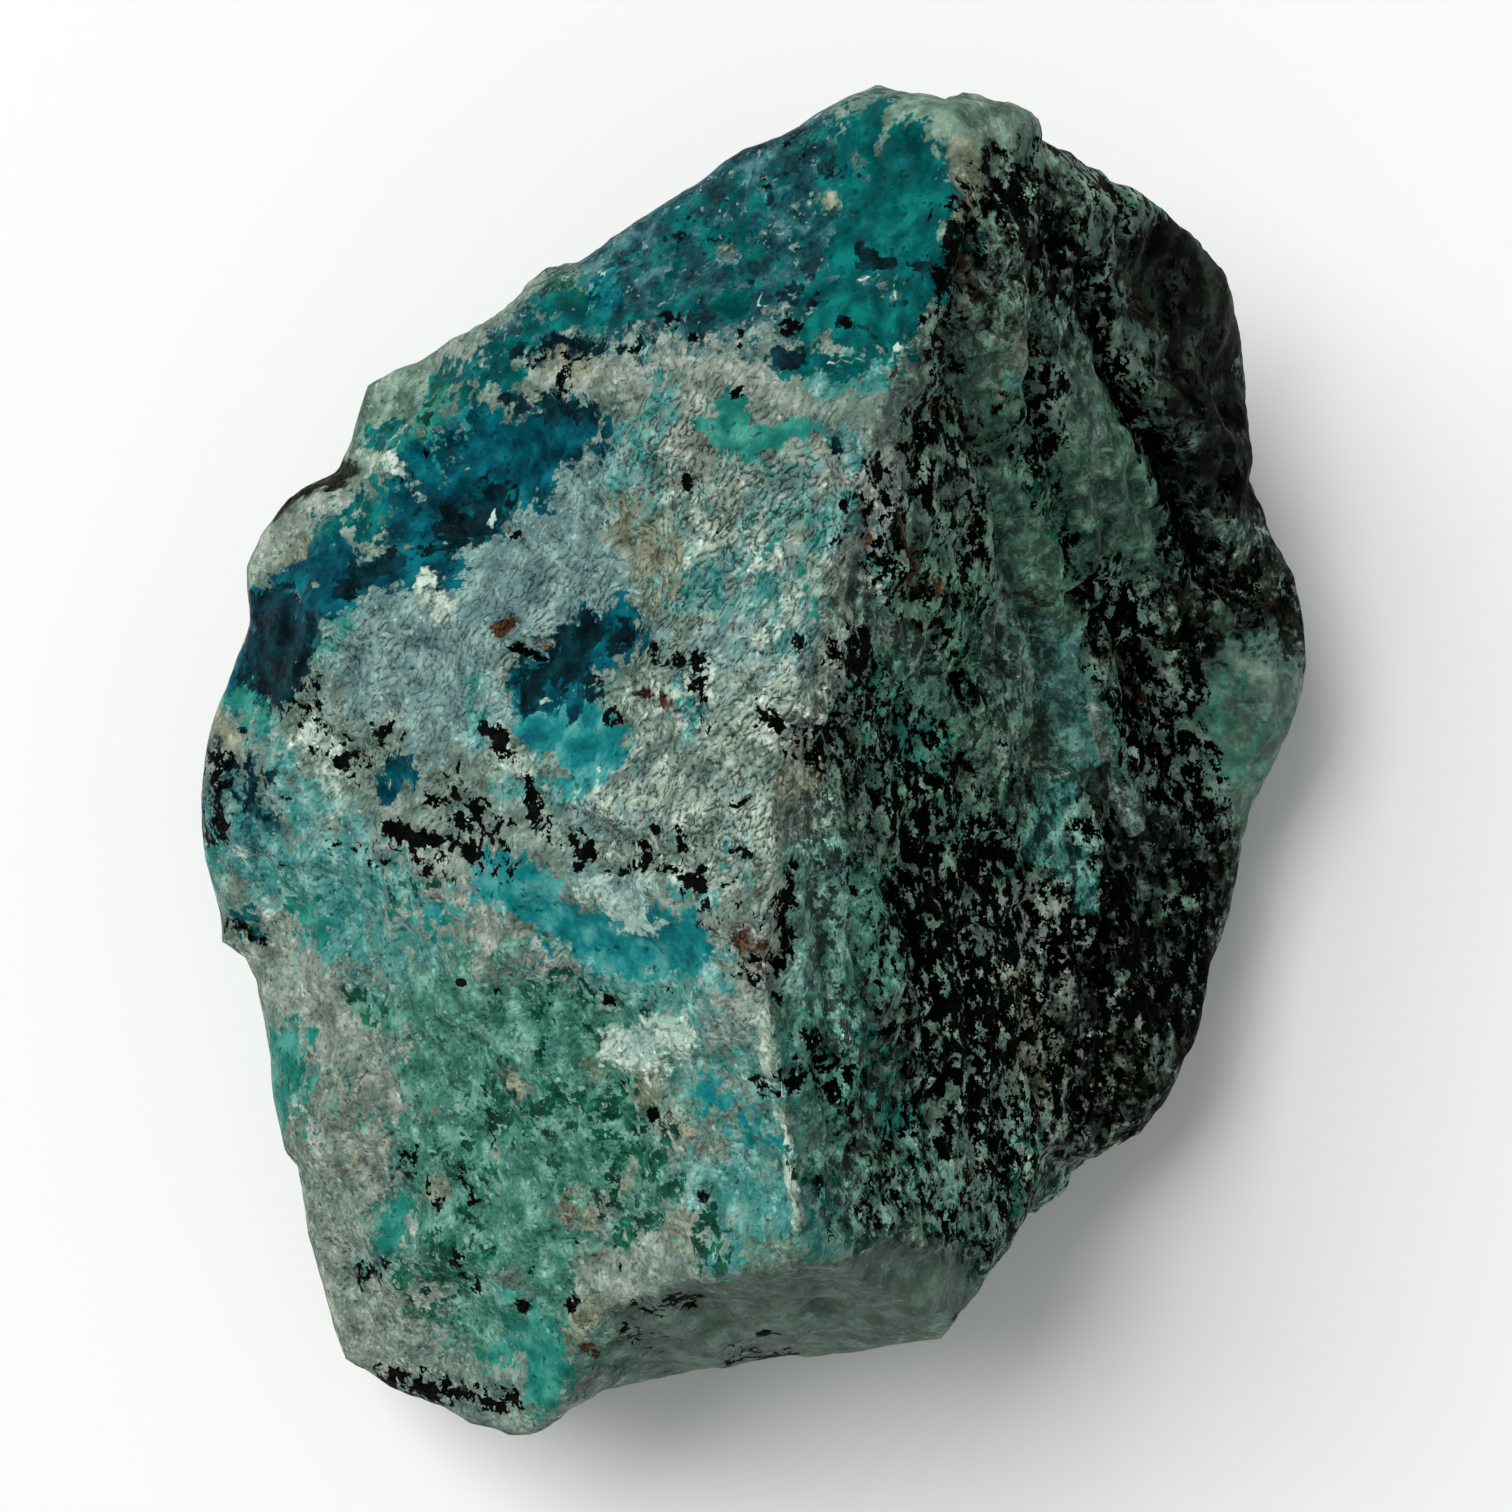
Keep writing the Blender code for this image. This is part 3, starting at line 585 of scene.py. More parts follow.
        (1215, 380, 1250, 490, 22, 0.5), (1060, 145, 1120, 182, 18, 0.68),
        (1190, 800, 1200, 960, 30, 0.64), (790, 870, 784, 1000, 8, 0.6),
        (1030, 320, 1040, 420, 14, 0.45), (1100, 590, 1090, 660, 14, 0.5),
        (1010, 400, 1045, 500, 20, 0.35), (1000, 900, 1020, 1000, 56, 0.56),
        (1060, 1060, 1080, 1120, 30, 0.5), (860, 1080, 850, 1130, 18, 0.22),
        (890, 1010, 860, 1060, 20, 0.22), (815, 1180, 830, 1240, 10, 0.3),
        (920, 1200, 960, 1240, 22, 0.45), (1150, 240, 1200, 480, 60, 0.2),
        (1100, 190, 1180, 220, 40, 0.42), (930, 480, 960, 600, 22, 0.5),
        (1000, 760, 1040, 800, 24, 0.2), (1180, 620, 1200, 700, 16, 0.6), (840, 860, 850, 900, 10, 0.5),
        (1035, 300, 1030, 380, 9, 0.7), (1030, 380, 1047, 470, 9, 0.65),
        (1047, 470, 1070, 570, 8, 0.55),
    ],
    "duskCrust": [
        (655, 1338, 705, 1326, 38, 0.9), (705, 1324, 850, 1306, 45, 1), (850, 1303, 925, 1290, 50, 1),
        (1070, 345, 1090, 385, 9, 0.6),
    ],
    "blueCrust": [
        (1038, 785, 1046, 850, 11, 1), (1040, 835, 1052, 855, 13, 0.85), (1054, 860, 1070, 905, 7, 1),
        (1048, 690, 1062, 750, 12, 0.6), (995, 368, 1000, 384, 10, 0.7), (1002, 490, 1008, 510, 9, 0.6),
    ],
    # a pale streak along a rib on the steep side: pale crust, lightened in part as a painted highlight where
    # the rib catches light
    "ashCrustAndHighlight": [
        (1080, 706, 1100, 774, 9, 1), (1100, 774, 1136, 832, 8, 1), (1035, 745, 1040, 775, 5, 0.7),
    ],
}

# where the crust is crazed by fine wrinkles
crazedPatches = [
    (690, 460, 840, 560, 80, 1), (690, 640, 790, 700, 80, 1), (620, 780, 760, 820, 66, 1),
    (600, 600, 640, 720, 40, 0.8), (480, 640, 560, 600, 50, 0.6), (380, 650, 450, 700, 50, 0.5),
    (590, 480, 660, 520, 50, 0.5), (760, 860, 780, 1000, 30, 0.6), (560, 780, 640, 850, 40, 0.5),
    (820, 440, 860, 480, 30, 0.7), (330, 740, 420, 800, 50, 0.3),
]

# where dust softens the surface
dustyPatches = [
    (1160, 230, 1210, 440, 80, 1), (1090, 180, 1150, 220, 44, 0.7), (1240, 680, 1250, 760, 70, 1),
    (1010, 400, 1060, 560, 70, 0.55), (1100, 400, 1150, 560, 50, 0.6), (1070, 640, 1080, 740, 40, 0.5),
    (690, 1335, 930, 1300, 50, 0.7), (1180, 850, 1150, 1060, 70, 0.55), (900, 100, 1010, 130, 50, 0.8),
]

# how the patches' edges are worked out
patchEdges = {
    "bends": ((6.0, 13.0, 61), (2.4, 7.0, 63), (1.1, 3.5, 65)),  # wavelength in mm, pixels, seed
    "widest": 1.4,  # an edge is never wider than the patch's radius times this
    "surface": 60,  # pixels over which crazing and dust fade
    "zoneFade": 0.3,  # noise levels over which a hidden band fades
    "steepening": (8, 0.15),  # gain, and how near to 0 and 1 it starts
    "lobeSeed": 100,
    "lobeSizes": 3,  # each size of lobe is half the one before
    "lobeShare": 0.72,  # and reaches this share as far
}


# where a point shows in the view from above, in pixels: its distance across and down from the
# camera's axis, over the width of one pixel at its height
def seenAt(points):
    perPixel = (
        viewFrom["sensor"] / viewFrom["lens"] * (viewFrom["height"] - points[:, 2]) / viewFrom["picture"]
    )
    across = viewFrom["picture"] / 2 + (points[:, 0] - viewFrom["x"]) / perPixel
    down = viewFrom["picture"] / 2 - (points[:, 1] - viewFrom["y"]) / perPixel
    return across, down


# cover of one mineral: the highest of its patches, each full inside and fading over its edge
def patchCover(rows, across, down, edgeWidth):
    cover = np.zeros(len(across))
    for row in rows:
        startX, startY, endX, endY, radius, fill = row if len(row) == 6 else (*row[:2], *row)
        away = strokeDistance(across, down, startX, startY, endX, endY)
        edge = min(edgeWidth, patchEdges["widest"] * radius)
        cover = np.maximum(cover, fill * np.clip(0.5 + (radius - away) / edge, 0, 1))
    return cover


# Minerals on the sides and the underside, which the drawing doesn't reach: bands of slow noise.
# Each has a wavelength in mm, a seed, the noise level where it starts and its fill.
hiddenZones = {
    "greyRock": (17.0, 21, 0.05, 1.0),
    "paleCrust": (14.0, 22, 0.15, 0.9),
    "turquoise": (12.0, 23, 0.20, 0.85),
    "seaGreen": (16.0, 24, 0.00, 0.9),
    "mossGreen": (11.0, 42, 0.20, 0.9),
    "paleGreen": (9.0, 25, 0.35, 0.7),
    "jade": (8.0, 26, 0.45, 0.7),
    "teal": (13.0, 27, 0.42, 0.9),
    "slate": (12.0, 28, 0.50, 0.8),
    "cyan": (9.0, 29, 0.60, 0.7),
    "sky": (8.0, 30, 0.55, 0.6),
    "azure": (13.0, 31, 0.50, 0.95),
    "navy": (8.0, 32, 0.55, 0.7),
    "malachite": (10.0, 33, 0.30, 0.5),
    "matrix": (11.0, 34, 0.20, 0.8),
    "cream": (7.0, 35, 0.50, 0.4),
    "tan": (7.0, 36, 0.40, 0.6),
    "umber": (12.0, 37, 0.30, 0.6),
    "rust": (6.0, 38, 0.55, 0.7),
    "white": (6.0, 39, 0.75, 0.6),
    "seam": (9.0, 40, 0.15, 0.5),
    "black": (7.0, 41, 0.50, 0.4),
    "duskCrust": (10.0, 43, 0.50, 0.8),
    "blueCrust": (9.0, 44, 0.60, 0.7),
    "ashCrustAndHighlight": (7.0, 45, 0.60, 0.7),
}


# The fine surface, in mm where nothing else is said.
fineRelief = {
    "lean": 14,  # degrees that the leaves lean left of +Y
    # wavelength, height, seed, and how far the pattern is drawn out along the stone
    "knobs": [
        (3.4, 0.26, 51, 1.0), (1.7, 0.17, 55, 1.0), (0.9, 0.11, 52, 1.0), (1.4, 0.12, 53, 2.4),
        (0.55, 0.05, 54, 1.0),
    ],
    "knobShare": 0.4,  # share of the knobs kept where the rock is foliated
    "folds": [(5.0, 1.3, 56, 3.8)],
    "plates": [(3.0, 1.3, 58, 2.4), (1.6, 0.8, 60, 2.0), (0.9, 0.4, 62, 1.7)],
    "plateMiddle": 0.4,  # squared distance at which a plate adds nothing
    "plateEdge": (0.5, 0.9),  # squared distances out where the groove starts and is deepest
    "foldMiddle": 0.3,  # noise level at which a fold adds nothing
    "foldBend": 0.18,  # how far noise shifts a fold, as a share of its wavelength
    "foldBendSize": 2.5,  # times the fold's own wavelength
    "plateBend": 0.3,  # the same for a plate
    "hollowWidth": 0.12,  # noise level up to which a fold has a groove
    "rimShare": -0.1,  # share kept beside the rim, less the outline's own
    "steepGain": 1.5,  # steep faces are rougher
    # grooves and ribs in the view from above: across, down, across, down, radius, height in mm
    "grooves": [
        (1085, 270, 1118, 372, 13, -1.1), (1118, 372, 1182, 487, 14, -1.6), (1182, 487, 1208, 575, 13, -1.4),
        (1208, 575, 1245, 605, 12, -1.0), (1036, 300, 1030, 380, 8, -0.7), (1030, 380, 1068, 560, 8, -0.7),
        (985, 215, 962, 330, 12, -0.9), (962, 330, 985, 450, 12, -1.0), (985, 450, 1010, 570, 11, -0.8),
        (1060, 380, 1085, 560, 20, 0.8), (1000, 300, 1010, 430, 20, 0.7), (1100, 440, 1140, 560, 16, 0.7),
        (1062, 660, 1085, 760, 14, 0.8), (1050, 780, 1085, 890, 12, 1.2), (1092, 705, 1150, 840, 9, 0.9),
        (1098, 880, 1100, 770, 10, -1.2), (1150, 660, 1185, 780, 22, -1.3), (1180, 200, 1160, 300, 16, -0.8),
        (1030, 600, 1050, 680, 10, -0.8), (1055, 700, 1040, 760, 9, -0.7), (1130, 150, 1090, 230, 10, -0.7),
        (520, 790, 740, 890, 8, -0.25), (700, 672, 800, 670, 3, -0.2), (600, 560, 700, 470, 8, 0.25),
        (660, 640, 780, 690, 6, 0.15), (430, 560, 540, 510, 6, 0.15), (450, 640, 560, 590, 7, 0.12),
    ],
    # how far a mineral stands proud of the rest, in mm
    "proud": {"paleCrust": 0.15, "white": 0.20, "cream": 0.08, "azure": -0.15, "navy": -0.15,
              "cyan": -0.10, "teal": -0.06, "black": -0.14, "seam": -0.25, "rust": -0.08},
}


# the ridge from back to front in the view from above: (down, across)
ridgeLine = [
    (60, 930), (150, 955), (250, 945), (350, 908), (430, 876), (480, 866), (640, 800), (760, 772),
    (1000, 782), (1225, 800), (1262, 930), (1300, 1010),
]
ridgeFade = 40  # pixels over which the foliated side begins


# how foliated the rock is: 0 left of the ridge line, rising to 1 over the fade right of it
def foliation(across, down):
    ridgeDown, ridgeAcross = np.array(ridgeLine).T
    return np.clip((across - np.interp(down, ridgeDown, ridgeAcross)) / ridgeFade, 0, 1)


# faces between two neighbouring closed rows of points, each row a ring running anticlockwise
def ringFaces(upper, lower):
    return np.stack([upper, lower, np.roll(lower, -1), np.roll(upper, -1)], axis=-1).reshape(-1, 4)


# the whole skin: the square top sheet, flank rows down to the base, and rings across the base
def skinGrid(form):
    side = form["squares"] + 1
    u, v = np.meshgrid(np.linspace(-1, 1, side), np.linspace(-1, 1, side))
    top = topSheet(form, u.ravel(), v.ravel())
    index = np.arange(side * side).reshape(side, side)
    topFaces = np.stack([index[:-1, :-1], index[:-1, 1:], index[1:, 1:], index[1:, :-1]], axis=-1)
    rim = np.concatenate([index[0, :-1], index[:-1, -1], index[-1, :0:-1], index[:0:-1, 0]])
    angle = np.arctan2(top[rim, 1], top[rim, 0])
    down = np.linspace(0, 1, form["flankRows"] + 1)[1:, None]
    flank = flankSheet(form, *np.broadcast_arrays(angle, down))
    foot = flank[-1]
    base = np.array(form["baseRings"])[:, None, None] * foot[None]
    rows = [rim] + [
        side * side + row * len(rim) + np.arange(len(rim)) for row in range(len(flank) + len(base))
    ]
    walls = [ringFaces(upper, lower) for upper, lower in zip(rows[:-1], rows[1:])]
    points = np.concatenate([top, flank.reshape(-1, 3), base.reshape(-1, 3)])
    hidden = np.concatenate([
        np.zeros(len(top)),
        np.repeat(np.clip((down.ravel() - form["hiddenFrom"]) / form["hiddenFade"], 0, 1), len(rim)),
        np.ones(base.size // 3),
    ])
    quads = np.concatenate([topFaces.reshape(-1, 4)] + walls)
    return points, quads, rows[-1][::-1], hidden


# puts points, four-sided faces and one closing face into a new mesh by whole arrays
def meshFromArrays(name, points, quads, lastFace):
    mesh = bpy.data.meshes.new(name)
    corners = np.concatenate([quads.ravel(), lastFace]).astype(np.int32)
    starts = np.arange(len(quads) + 1, dtype=np.int32) * 4
    mesh.vertices.add(len(points))
    mesh.vertices.foreach_set("co", (points * mm).ravel())
    mesh.loops.add(len(corners))
    mesh.loops.foreach_set("vertex_index", corners)
    mesh.polygons.add(len(starts))
    mesh.polygons.foreach_set("loop_start", starts)
    mesh.update(calc_edges=True)
    mesh.validate()
    return mesh


# the mesh's normals as an array
def meshNormals(mesh):
    normals = np.empty(len(mesh.vertices) * 3)
    mesh.vertices.foreach_get("normal", normals)
    return normals.reshape(-1, 3)


# moves the mesh's points to new places in mm
def movePoints(mesh, points):
    mesh.vertices.foreach_set("co", (points * mm).ravel())
    mesh.update()


# cover of every mineral at every point: drawn patches on bent coordinates where seen and slow
# noise where hidden, made steep near 0 and 1 so that a patch is whole inside and nothing shows
# outside, plus lobes of three sizes that make the borders ragged
def mineralCovers(points, hidden):
    across, down = seenAt(points)
    gain, margin = patchEdges["steepening"]
    for wavelength, reach, seed in patchEdges["bends"]:
        across = across + reach * latticeNoise(points, wavelength, seed)
        down = down + reach * latticeNoise(points, wavelength, seed + 1)
    covers = {}
    for number, (name, look) in enumerate(minerals.items()):
        wavelength, seed, start, fill = hiddenZones[name]
        drawn = patchCover(patches[name], across, down, look["edge"])
        level = (latticeNoise(points, wavelength, seed) - start) / patchEdges["zoneFade"]
        cover = drawn * (1 - hidden) + fill * np.clip(level + 0.5, 0, 1) * hidden
        cover = cover + gain * (np.maximum(cover - 1 + margin, 0) - np.maximum(margin - cover, 0))
        drawnOut = leaned(points, look["stretch"])
        for size in range(patchEdges["lobeSizes"]):
            seed = patchEdges["lobeSeed"] + patchEdges["lobeSizes"] * number + size
            lobe = latticeNoise(drawnOut, look["lobe"] / 2**size, seed)
            cover = cover + look["ragged"] * patchEdges["lobeShare"]**size * lobe
        covers[name] = cover
    return covers


# the points turned back by the lean and shortened along Y, so that a pattern on them leans that
# way and is drawn out by the stretch
def leaned(points, stretch):
    lean = radians(fineRelief["lean"])
    x, y, height = points.T
    turnedX = x * cos(lean) + y * sin(lean)
    turnedY = y * cos(lean) - x * sin(lean)
    return np.stack([turnedX, turnedY / stretch, height], axis=-1)


# relief of the broken surface in mm: knobs and grit all over, folded sheets with sharp grooves on
# the foliated side, and what each mineral stands proud by. Also how deep in a groove a point is,
# from 0 to 1, for the painted shade that the material puts in grooves.
def grainRelief(form, points, normals, covers):
    across, down = seenAt(points)
    foliated = foliation(across, down)
    calm = rimCalm(form, points)
    steep = 1 - np.clip(normals[:, 2], 0, 1)
    rise = np.zeros(len(points))
    grooveShadeDepth = np.zeros(len(points))
    for wavelength, height, seed, stretch in fineRelief["knobs"]:
        rise += height * latticeNoise(leaned(points, stretch), wavelength, seed)
    rise *= 1 + (fineRelief["steepGain"] - 1) * steep
    rise *= 1 - (1 - fineRelief["knobShare"]) * foliated
    for wavelength, height, seed, stretch in fineRelief["folds"]:
        drawnOut = leaned(points, stretch)
        bendSize = fineRelief["foldBendSize"] * wavelength
        drawnOut[:, 0] += fineRelief["foldBend"] * wavelength * latticeNoise(points, bendSize, seed + 1)
        fold = np.abs(latticeNoise(drawnOut, wavelength, seed))
        rise += height * (fold - fineRelief["foldMiddle"]) * foliated
        grooveShadeDepth = np.maximum(grooveShadeDepth, np.clip(1 - fold / fineRelief["hollowWidth"], 0, 1) * foliated)
    start, deepest = fineRelief["plateEdge"]
    for wavelength, height, seed, stretch in fineRelief["plates"]:
        drawnOut = leaned(points, stretch)
        bend = fineRelief["plateBend"] * wavelength * latticeNoise(points, wavelength, seed + 1)
        drawnOut += bend[:, None]
        gap = scoopNoise(drawnOut, wavelength, seed)
        rise -= height * (np.minimum(gap, deepest) - fineRelief["plateMiddle"]) * foliated
        grooveShadeDepth = np.maximum(grooveShadeDepth, np.clip((gap - start) / (deepest - start), 0, 1) * foliated)
    for startX, startY, endX, endY, radius, height in fineRelief["grooves"]:
        away = strokeDistance(across, down, startX, startY, endX, endY)
        bell = np.exp(-((away / radius) ** 2))
        rise += height * bell
        grooveShadeDepth = np.maximum(grooveShadeDepth, bell * np.clip(-height, 0, 1))
    for name, height in fineRelief["proud"].items():
        rise += height * np.clip(covers[name], 0, 1)
    keep = fineRelief["rimShare"] + (1 - fineRelief["rimShare"]) * calm
    return rise * keep, grooveShadeDepth * keep


# stretches the points a little so that they fill the CAD node's box, with the base at height 0
def fitToNode(points, node):
    low, high = (np.array(corner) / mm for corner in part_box(node))
    ownLow, ownHigh = points.min(axis=0), points.max(axis=0)
    ownLow[2] = 0
    return low + np.maximum(points - ownLow, 0) * (high - low) / (ownHigh - ownLow)


# the skin, moved along its normals by the broad and then by the fine relief, which both fade to
# nothing at the flat base, with every cover as an attribute
def buildStone(form):
    points, quads, lastFace, hidden = skinGrid(form)
    mesh = meshFromArrays("stone_surface", points, quads, lastFace)
    normals = meshNormals(mesh)
    baseFade = np.clip(points[:, 2] / form["baseMargin"], 0, 1)
    share = (1 - (1 - form["levelShare"]) * np.clip(normals[:, 2], 0, 1) ** 2) * baseFade
    points = points + normals * (broadRelief(form, points) * share * rimCalm(form, points))[:, None]
    points = fitToNode(points, form["node"])
    movePoints(mesh, points)
    print("stone: broad relief done,", len(mesh.vertices), "points")
    covers = mineralCovers(points, hidden)
    rise, grooveShadeDepth = grainRelief(form, points, meshNormals(mesh), covers)
    rise *= np.clip(points[:, 2] / form["fineMargin"], 0, 1)
    points = fitToNode(points + meshNormals(mesh) * rise[:, None], form["node"])
    movePoints(mesh, points)
    seen = seenAt(points)
    covers["foliated"] = foliation(*seen)
    covers["dusted"] = stoneFinish["dustShare"] * patchCover(dustyPatches, *seen, patchEdges["surface"])
    craze = patchCover(crazedPatches, *seen, patchEdges["surface"]) * (1 - hidden)
    covers["crazed"] = stoneFinish["crazeGround"] + (1 - stoneFinish["crazeGround"]) * craze
    # how deep in a groove each point lies, which the material darkens as painted shade
    covers["grooveShadeDepth"] = grooveShadeDepth
    for name, cover in covers.items():
        mesh.attributes.new(name, "FLOAT", "POINT").data.foreach_set("value", cover.astype(np.float32))
    mesh.shade_smooth()
    stone = bpy.data.objects.new("stone_surface", mesh)
    bpy.context.scene.collection.objects.link(stone)
    print("stone: fine relief and", len(covers), "mineral covers done")
    return stone


# The stone's material.
stoneFinish = {
    "ground": ("#4a5e54", "#677c70", "#8a9e91"),  # clayey quartz under everything
    "toneLevels": (0.34, 0.5, 0.66),  # noise levels of a mineral's dark, middle and light tone
    # size in mm, octaves and roughness of the tone changes inside a mineral, of the small lobes
    # along its border, and of flecks
    "noises": {"mottle": (1.5, 3, 0.6), "border": (0.6, 2, 0.68), "fleck": (0.55, 3, 0.7)},
    # noise levels where a change of tone starts and where it is full
    "levels": {"fleckDark": (0.60, 0.66), "fleckPale": (0.62, 0.68), "wrinkle": (0.75, 1.0),
               "leaf": (0.36, 0.62)},
    "fleckDark": 0.62,  # how much darker a dark fleck is
    "fleckPale": "#a9c2b9",
    "fleckPaleShare": 0.4,
    "waxyMinerals": ("teal", "jade", "cyan", "azure", "navy"),
    "darkMinerals": ("umber", "rust", "seam", "black"),
    "downhill": 1.6,  # times that leaves and flakes are drawn out down the slope
    "leaf": (0.55, 1.8),  # mm, thickness of the leaves on the foliated side, and times longer
    "flake": (0.35, 2.1),  # mm, the crisp flakes that the leaves break into, and times longer
    "flakeShare": 0.34,  # how far a flake differs from the leaf it sits on
    "leafLightAndShade": (0.75, -0.8),  # how much lighter a leaf's face is, partly its own paler colour and partly painted light, and how much darker a gap, which is painted shade
    "speck": 0.6,  # mm, angular specks of the black and dark green minerals
    "dendrite": 1.0,  # mm, branches of the black mineral
    "dendriteMix": (0.25, 0.5, -0.05),  # shares of branches and of specks, and what is added
    "bend": 1.5,  # mm, how far noise bends the edges of flakes and specks
    "dustShare": 0.85,  # how much dust softens flecks, leaves and creases
    "dustTone": 0.85,  # share of the tone that shows through dust
    "grooveShadeTone": 0.45,  # painted shade: how much darker the bottom of a groove is
    "wrinkle": (0.48, 1.6, 50),  # mm between wrinkles, times longer, and the degrees they are turned
    "wrinkleShadeTone": 0.74,  # painted shade: how much darker the bottom of a wrinkle is
    "crazeGround": 0.32,  # wrinkles kept outside the crazed patches
    "grain": 0.24,  # mm, single crystal grains, coarser than the real 0.1 so that they show
    "grainPaleAndGlint": 0.6,  # how much lighter the palest grain is: pale crystals, and in part painted glints
    "grainDark": 0.06,  # how much darker the rest are
    "grainRarity": 14,  # the larger, the fewer grains are pale
    "facetHeight": 0.03,  # mm, how far one grain's face tilts out
    "facetGain": 8,  # as a tilt times an offset is about an eighth of the grain's size
    "wrinkleHeight": 0.27,  # mm
    "leafHeight": 0.72,  # mm, over the whole range of the leaves' noise
    "specular": 0.06,
    "darkSpecular": 0.015,  # on the waxy and the dark minerals
    "roughness": 0.58,
    "waxyRoughness": 0.36,
    "waxySmoothing": 0.7,  # share of bumps and grain that the waxy minerals lack
    "glintShare": 0.07,  # share of grains that turn a bright face to the light
    "glintPolish": 0.3,  # how much less rough they are
}


# pattern scale for a feature size in mm, on coordinates in metres
def scaleFor(size):
    return 1 / (size * mm)


# Chrysocolla in quartz, broken with a hammer: a blue-green copper silicate with a dull to waxy
# break, chalky crusts, and black oxide grains that soak up light.
def chrysocollaRock():
    finish = stoneFinish
    material = bpy.data.materials.new("chrysocolla rock, broken")
    material.use_nodes = True
    shader = material.node_tree.nodes["Principled BSDF"]
    add = partial(addNode, material.node_tree)
    place = add("TexCoord").outputs["Object"]
    cover = {
        name: add("Attribute", attribute_name=name).outputs["Fac"]
        for name in (*minerals, "crazed", "foliated", "dusted", "grooveShadeDepth")
    }

    # patterns: soft noise, cells of random shape, and both again on coordinates bent by the
    # borders' noise or turned by some degrees and drawn out
    noises = {
        name: add("TexNoise", {
            "Vector": place, "Scale": scaleFor(size), "Detail": detail, "Roughness": roughness})
        for name, (size, detail, roughness) in finish["noises"].items()
    }
    mottles = add("SeparateColor", [noises["mottle"].outputs["Color"]]).outputs
    lobes = add("SeparateColor", [noises["border"].outputs["Color"]]).outputs
    reach = finish["bend"] * mm
    bent = add("VectorMath", [noises["border"].outputs["Color"], (reach, reach, reach), place],
               operation="MULTIPLY_ADD")
    leafSize, leafLength = finish["leaf"]
    flakeSize, flakeLength = finish["flake"]
    wrinkleSize, wrinkleLength, wrinkleTurn = finish["wrinkle"]
    drawnOut = {
        name: add("Mapping", {
            "Vector": vector, "Rotation": (0, 0, radians(turn)), "Scale": stretch}, vector_type="TEXTURE")
        for name, vector, turn, stretch in (
            ("leaf", place, fineRelief["lean"], (1, leafLength, finish["downhill"])),
            ("flake", bent, fineRelief["lean"], (1, flakeLength, finish["downhill"])),
            ("wrinkle", place, wrinkleTurn, (wrinkleLength, 1, 1)),
        )
    }
    cells = {
        name: add("TexVoronoi", {"Vector": vector, "Scale": scaleFor(size)}).outputs
        for name, vector, size in (
            ("flake", drawnOut["flake"], flakeSize),
            ("speck", bent, finish["speck"]),
            ("grain", place, finish["grain"]),
        )
    }
    dice = {name: add("SeparateColor", [cell["Color"]]).outputs for name, cell in cells.items()}

    # leaves with every flake a little higher or lower
    leafNoise = add("TexNoise", {
        "Vector": drawnOut["leaf"], "Scale": scaleFor(leafSize), "Detail": 3, "Roughness": 0.65})
    flakeStep = add("Math", [dice["flake"][0], finish["flakeShare"], -finish["flakeShare"] / 2],
                    operation="MULTIPLY_ADD")
    leaves = add("Math", [leafNoise, flakeStep], operation="ADD")
    # ridged noise, high along thin lines: half of the first lies over 0.57 and a tenth over 0.92, and
    # half of the second lies over 1.19 and a tenth over 1.67
    wrinkles = add("TexNoise", {
        "Vector": drawnOut["wrinkle"], "Scale": scaleFor(wrinkleSize), "Detail": 3, "Roughness": 0.5,
        "Offset": 0.8, "Gain": 2}, noise_type="RIDGED_MULTIFRACTAL")
    branches = add("TexNoise", {
        "Vector": place, "Scale": scaleFor(finish["dendrite"]), "Detail": 3, "Roughness": 0.7,
        "Offset": 0.9, "Gain": 2}, noise_type="RIDGED_MULTIFRACTAL")
    branchShare, speckShare, added = finish["dendriteMix"]
    specks = add("Math", [dice["speck"][0], speckShare, added], operation="MULTIPLY_ADD")
    dendrites = add("Math", [branches, branchShare, specks], operation="MULTIPLY_ADD")

    # the ground and then every mineral, each in three tones, where its cover and its lobes are high
    ramps = []
    for number, tones in enumerate([finish["ground"]] + [look["tones"] for look in minerals.values()]):
        ramp = add("ValToRGB", [mottles[number % 3]])
        ramp.color_ramp.elements.new(0.5)
        for element, level, tone in zip(ramp.color_ramp.elements, finish["toneLevels"], tones):
            element.position = level
            element.color = linearColour(tone)
        ramps.append(ramp.outputs[0])
    colour, *tones = ramps
    ownLobes = {"seam": leaves, "black": dendrites, "malachite": dice["speck"][1]}
    waxy = 0.0
    dark = 0.0
    for number, (name, look) in enumerate(minerals.items()):
        lobe = ownLobes.get(name, lobes[number % 3])
        lobe = add("Math", [lobe, look["fine"], -look["fine"] / 2], operation="MULTIPLY_ADD")
        mask = add("MapRange", {
            "Value": add("Math", [cover[name], lobe], operation="ADD"),
            "From Min": 0.5 - look["soft"], "From Max": 0.5 + look["soft"],
        }, interpolation_type="SMOOTHSTEP")
        colour = add("Mix", {0: mask, 6: colour, 7: tones[number]}, data_type="RGBA").outputs[2]
        if name in finish["waxyMinerals"]:
            waxy = add("Math", [waxy, mask], operation="MAXIMUM")
        if name in finish["darkMinerals"]:
            waxy = add("Math", [waxy, mask], operation="SUBTRACT")
            dark = add("Math", [dark, mask], operation="MAXIMUM")
    waxy = add("Clamp", [waxy])
    dark = add("Math", [dark, waxy], operation="MAXIMUM")
    rougher = add("Math", [waxy, -finish["waxySmoothing"], 1], operation="MULTIPLY_ADD")
    bare = add("Math", [1, cover["dusted"]], operation="SUBTRACT")
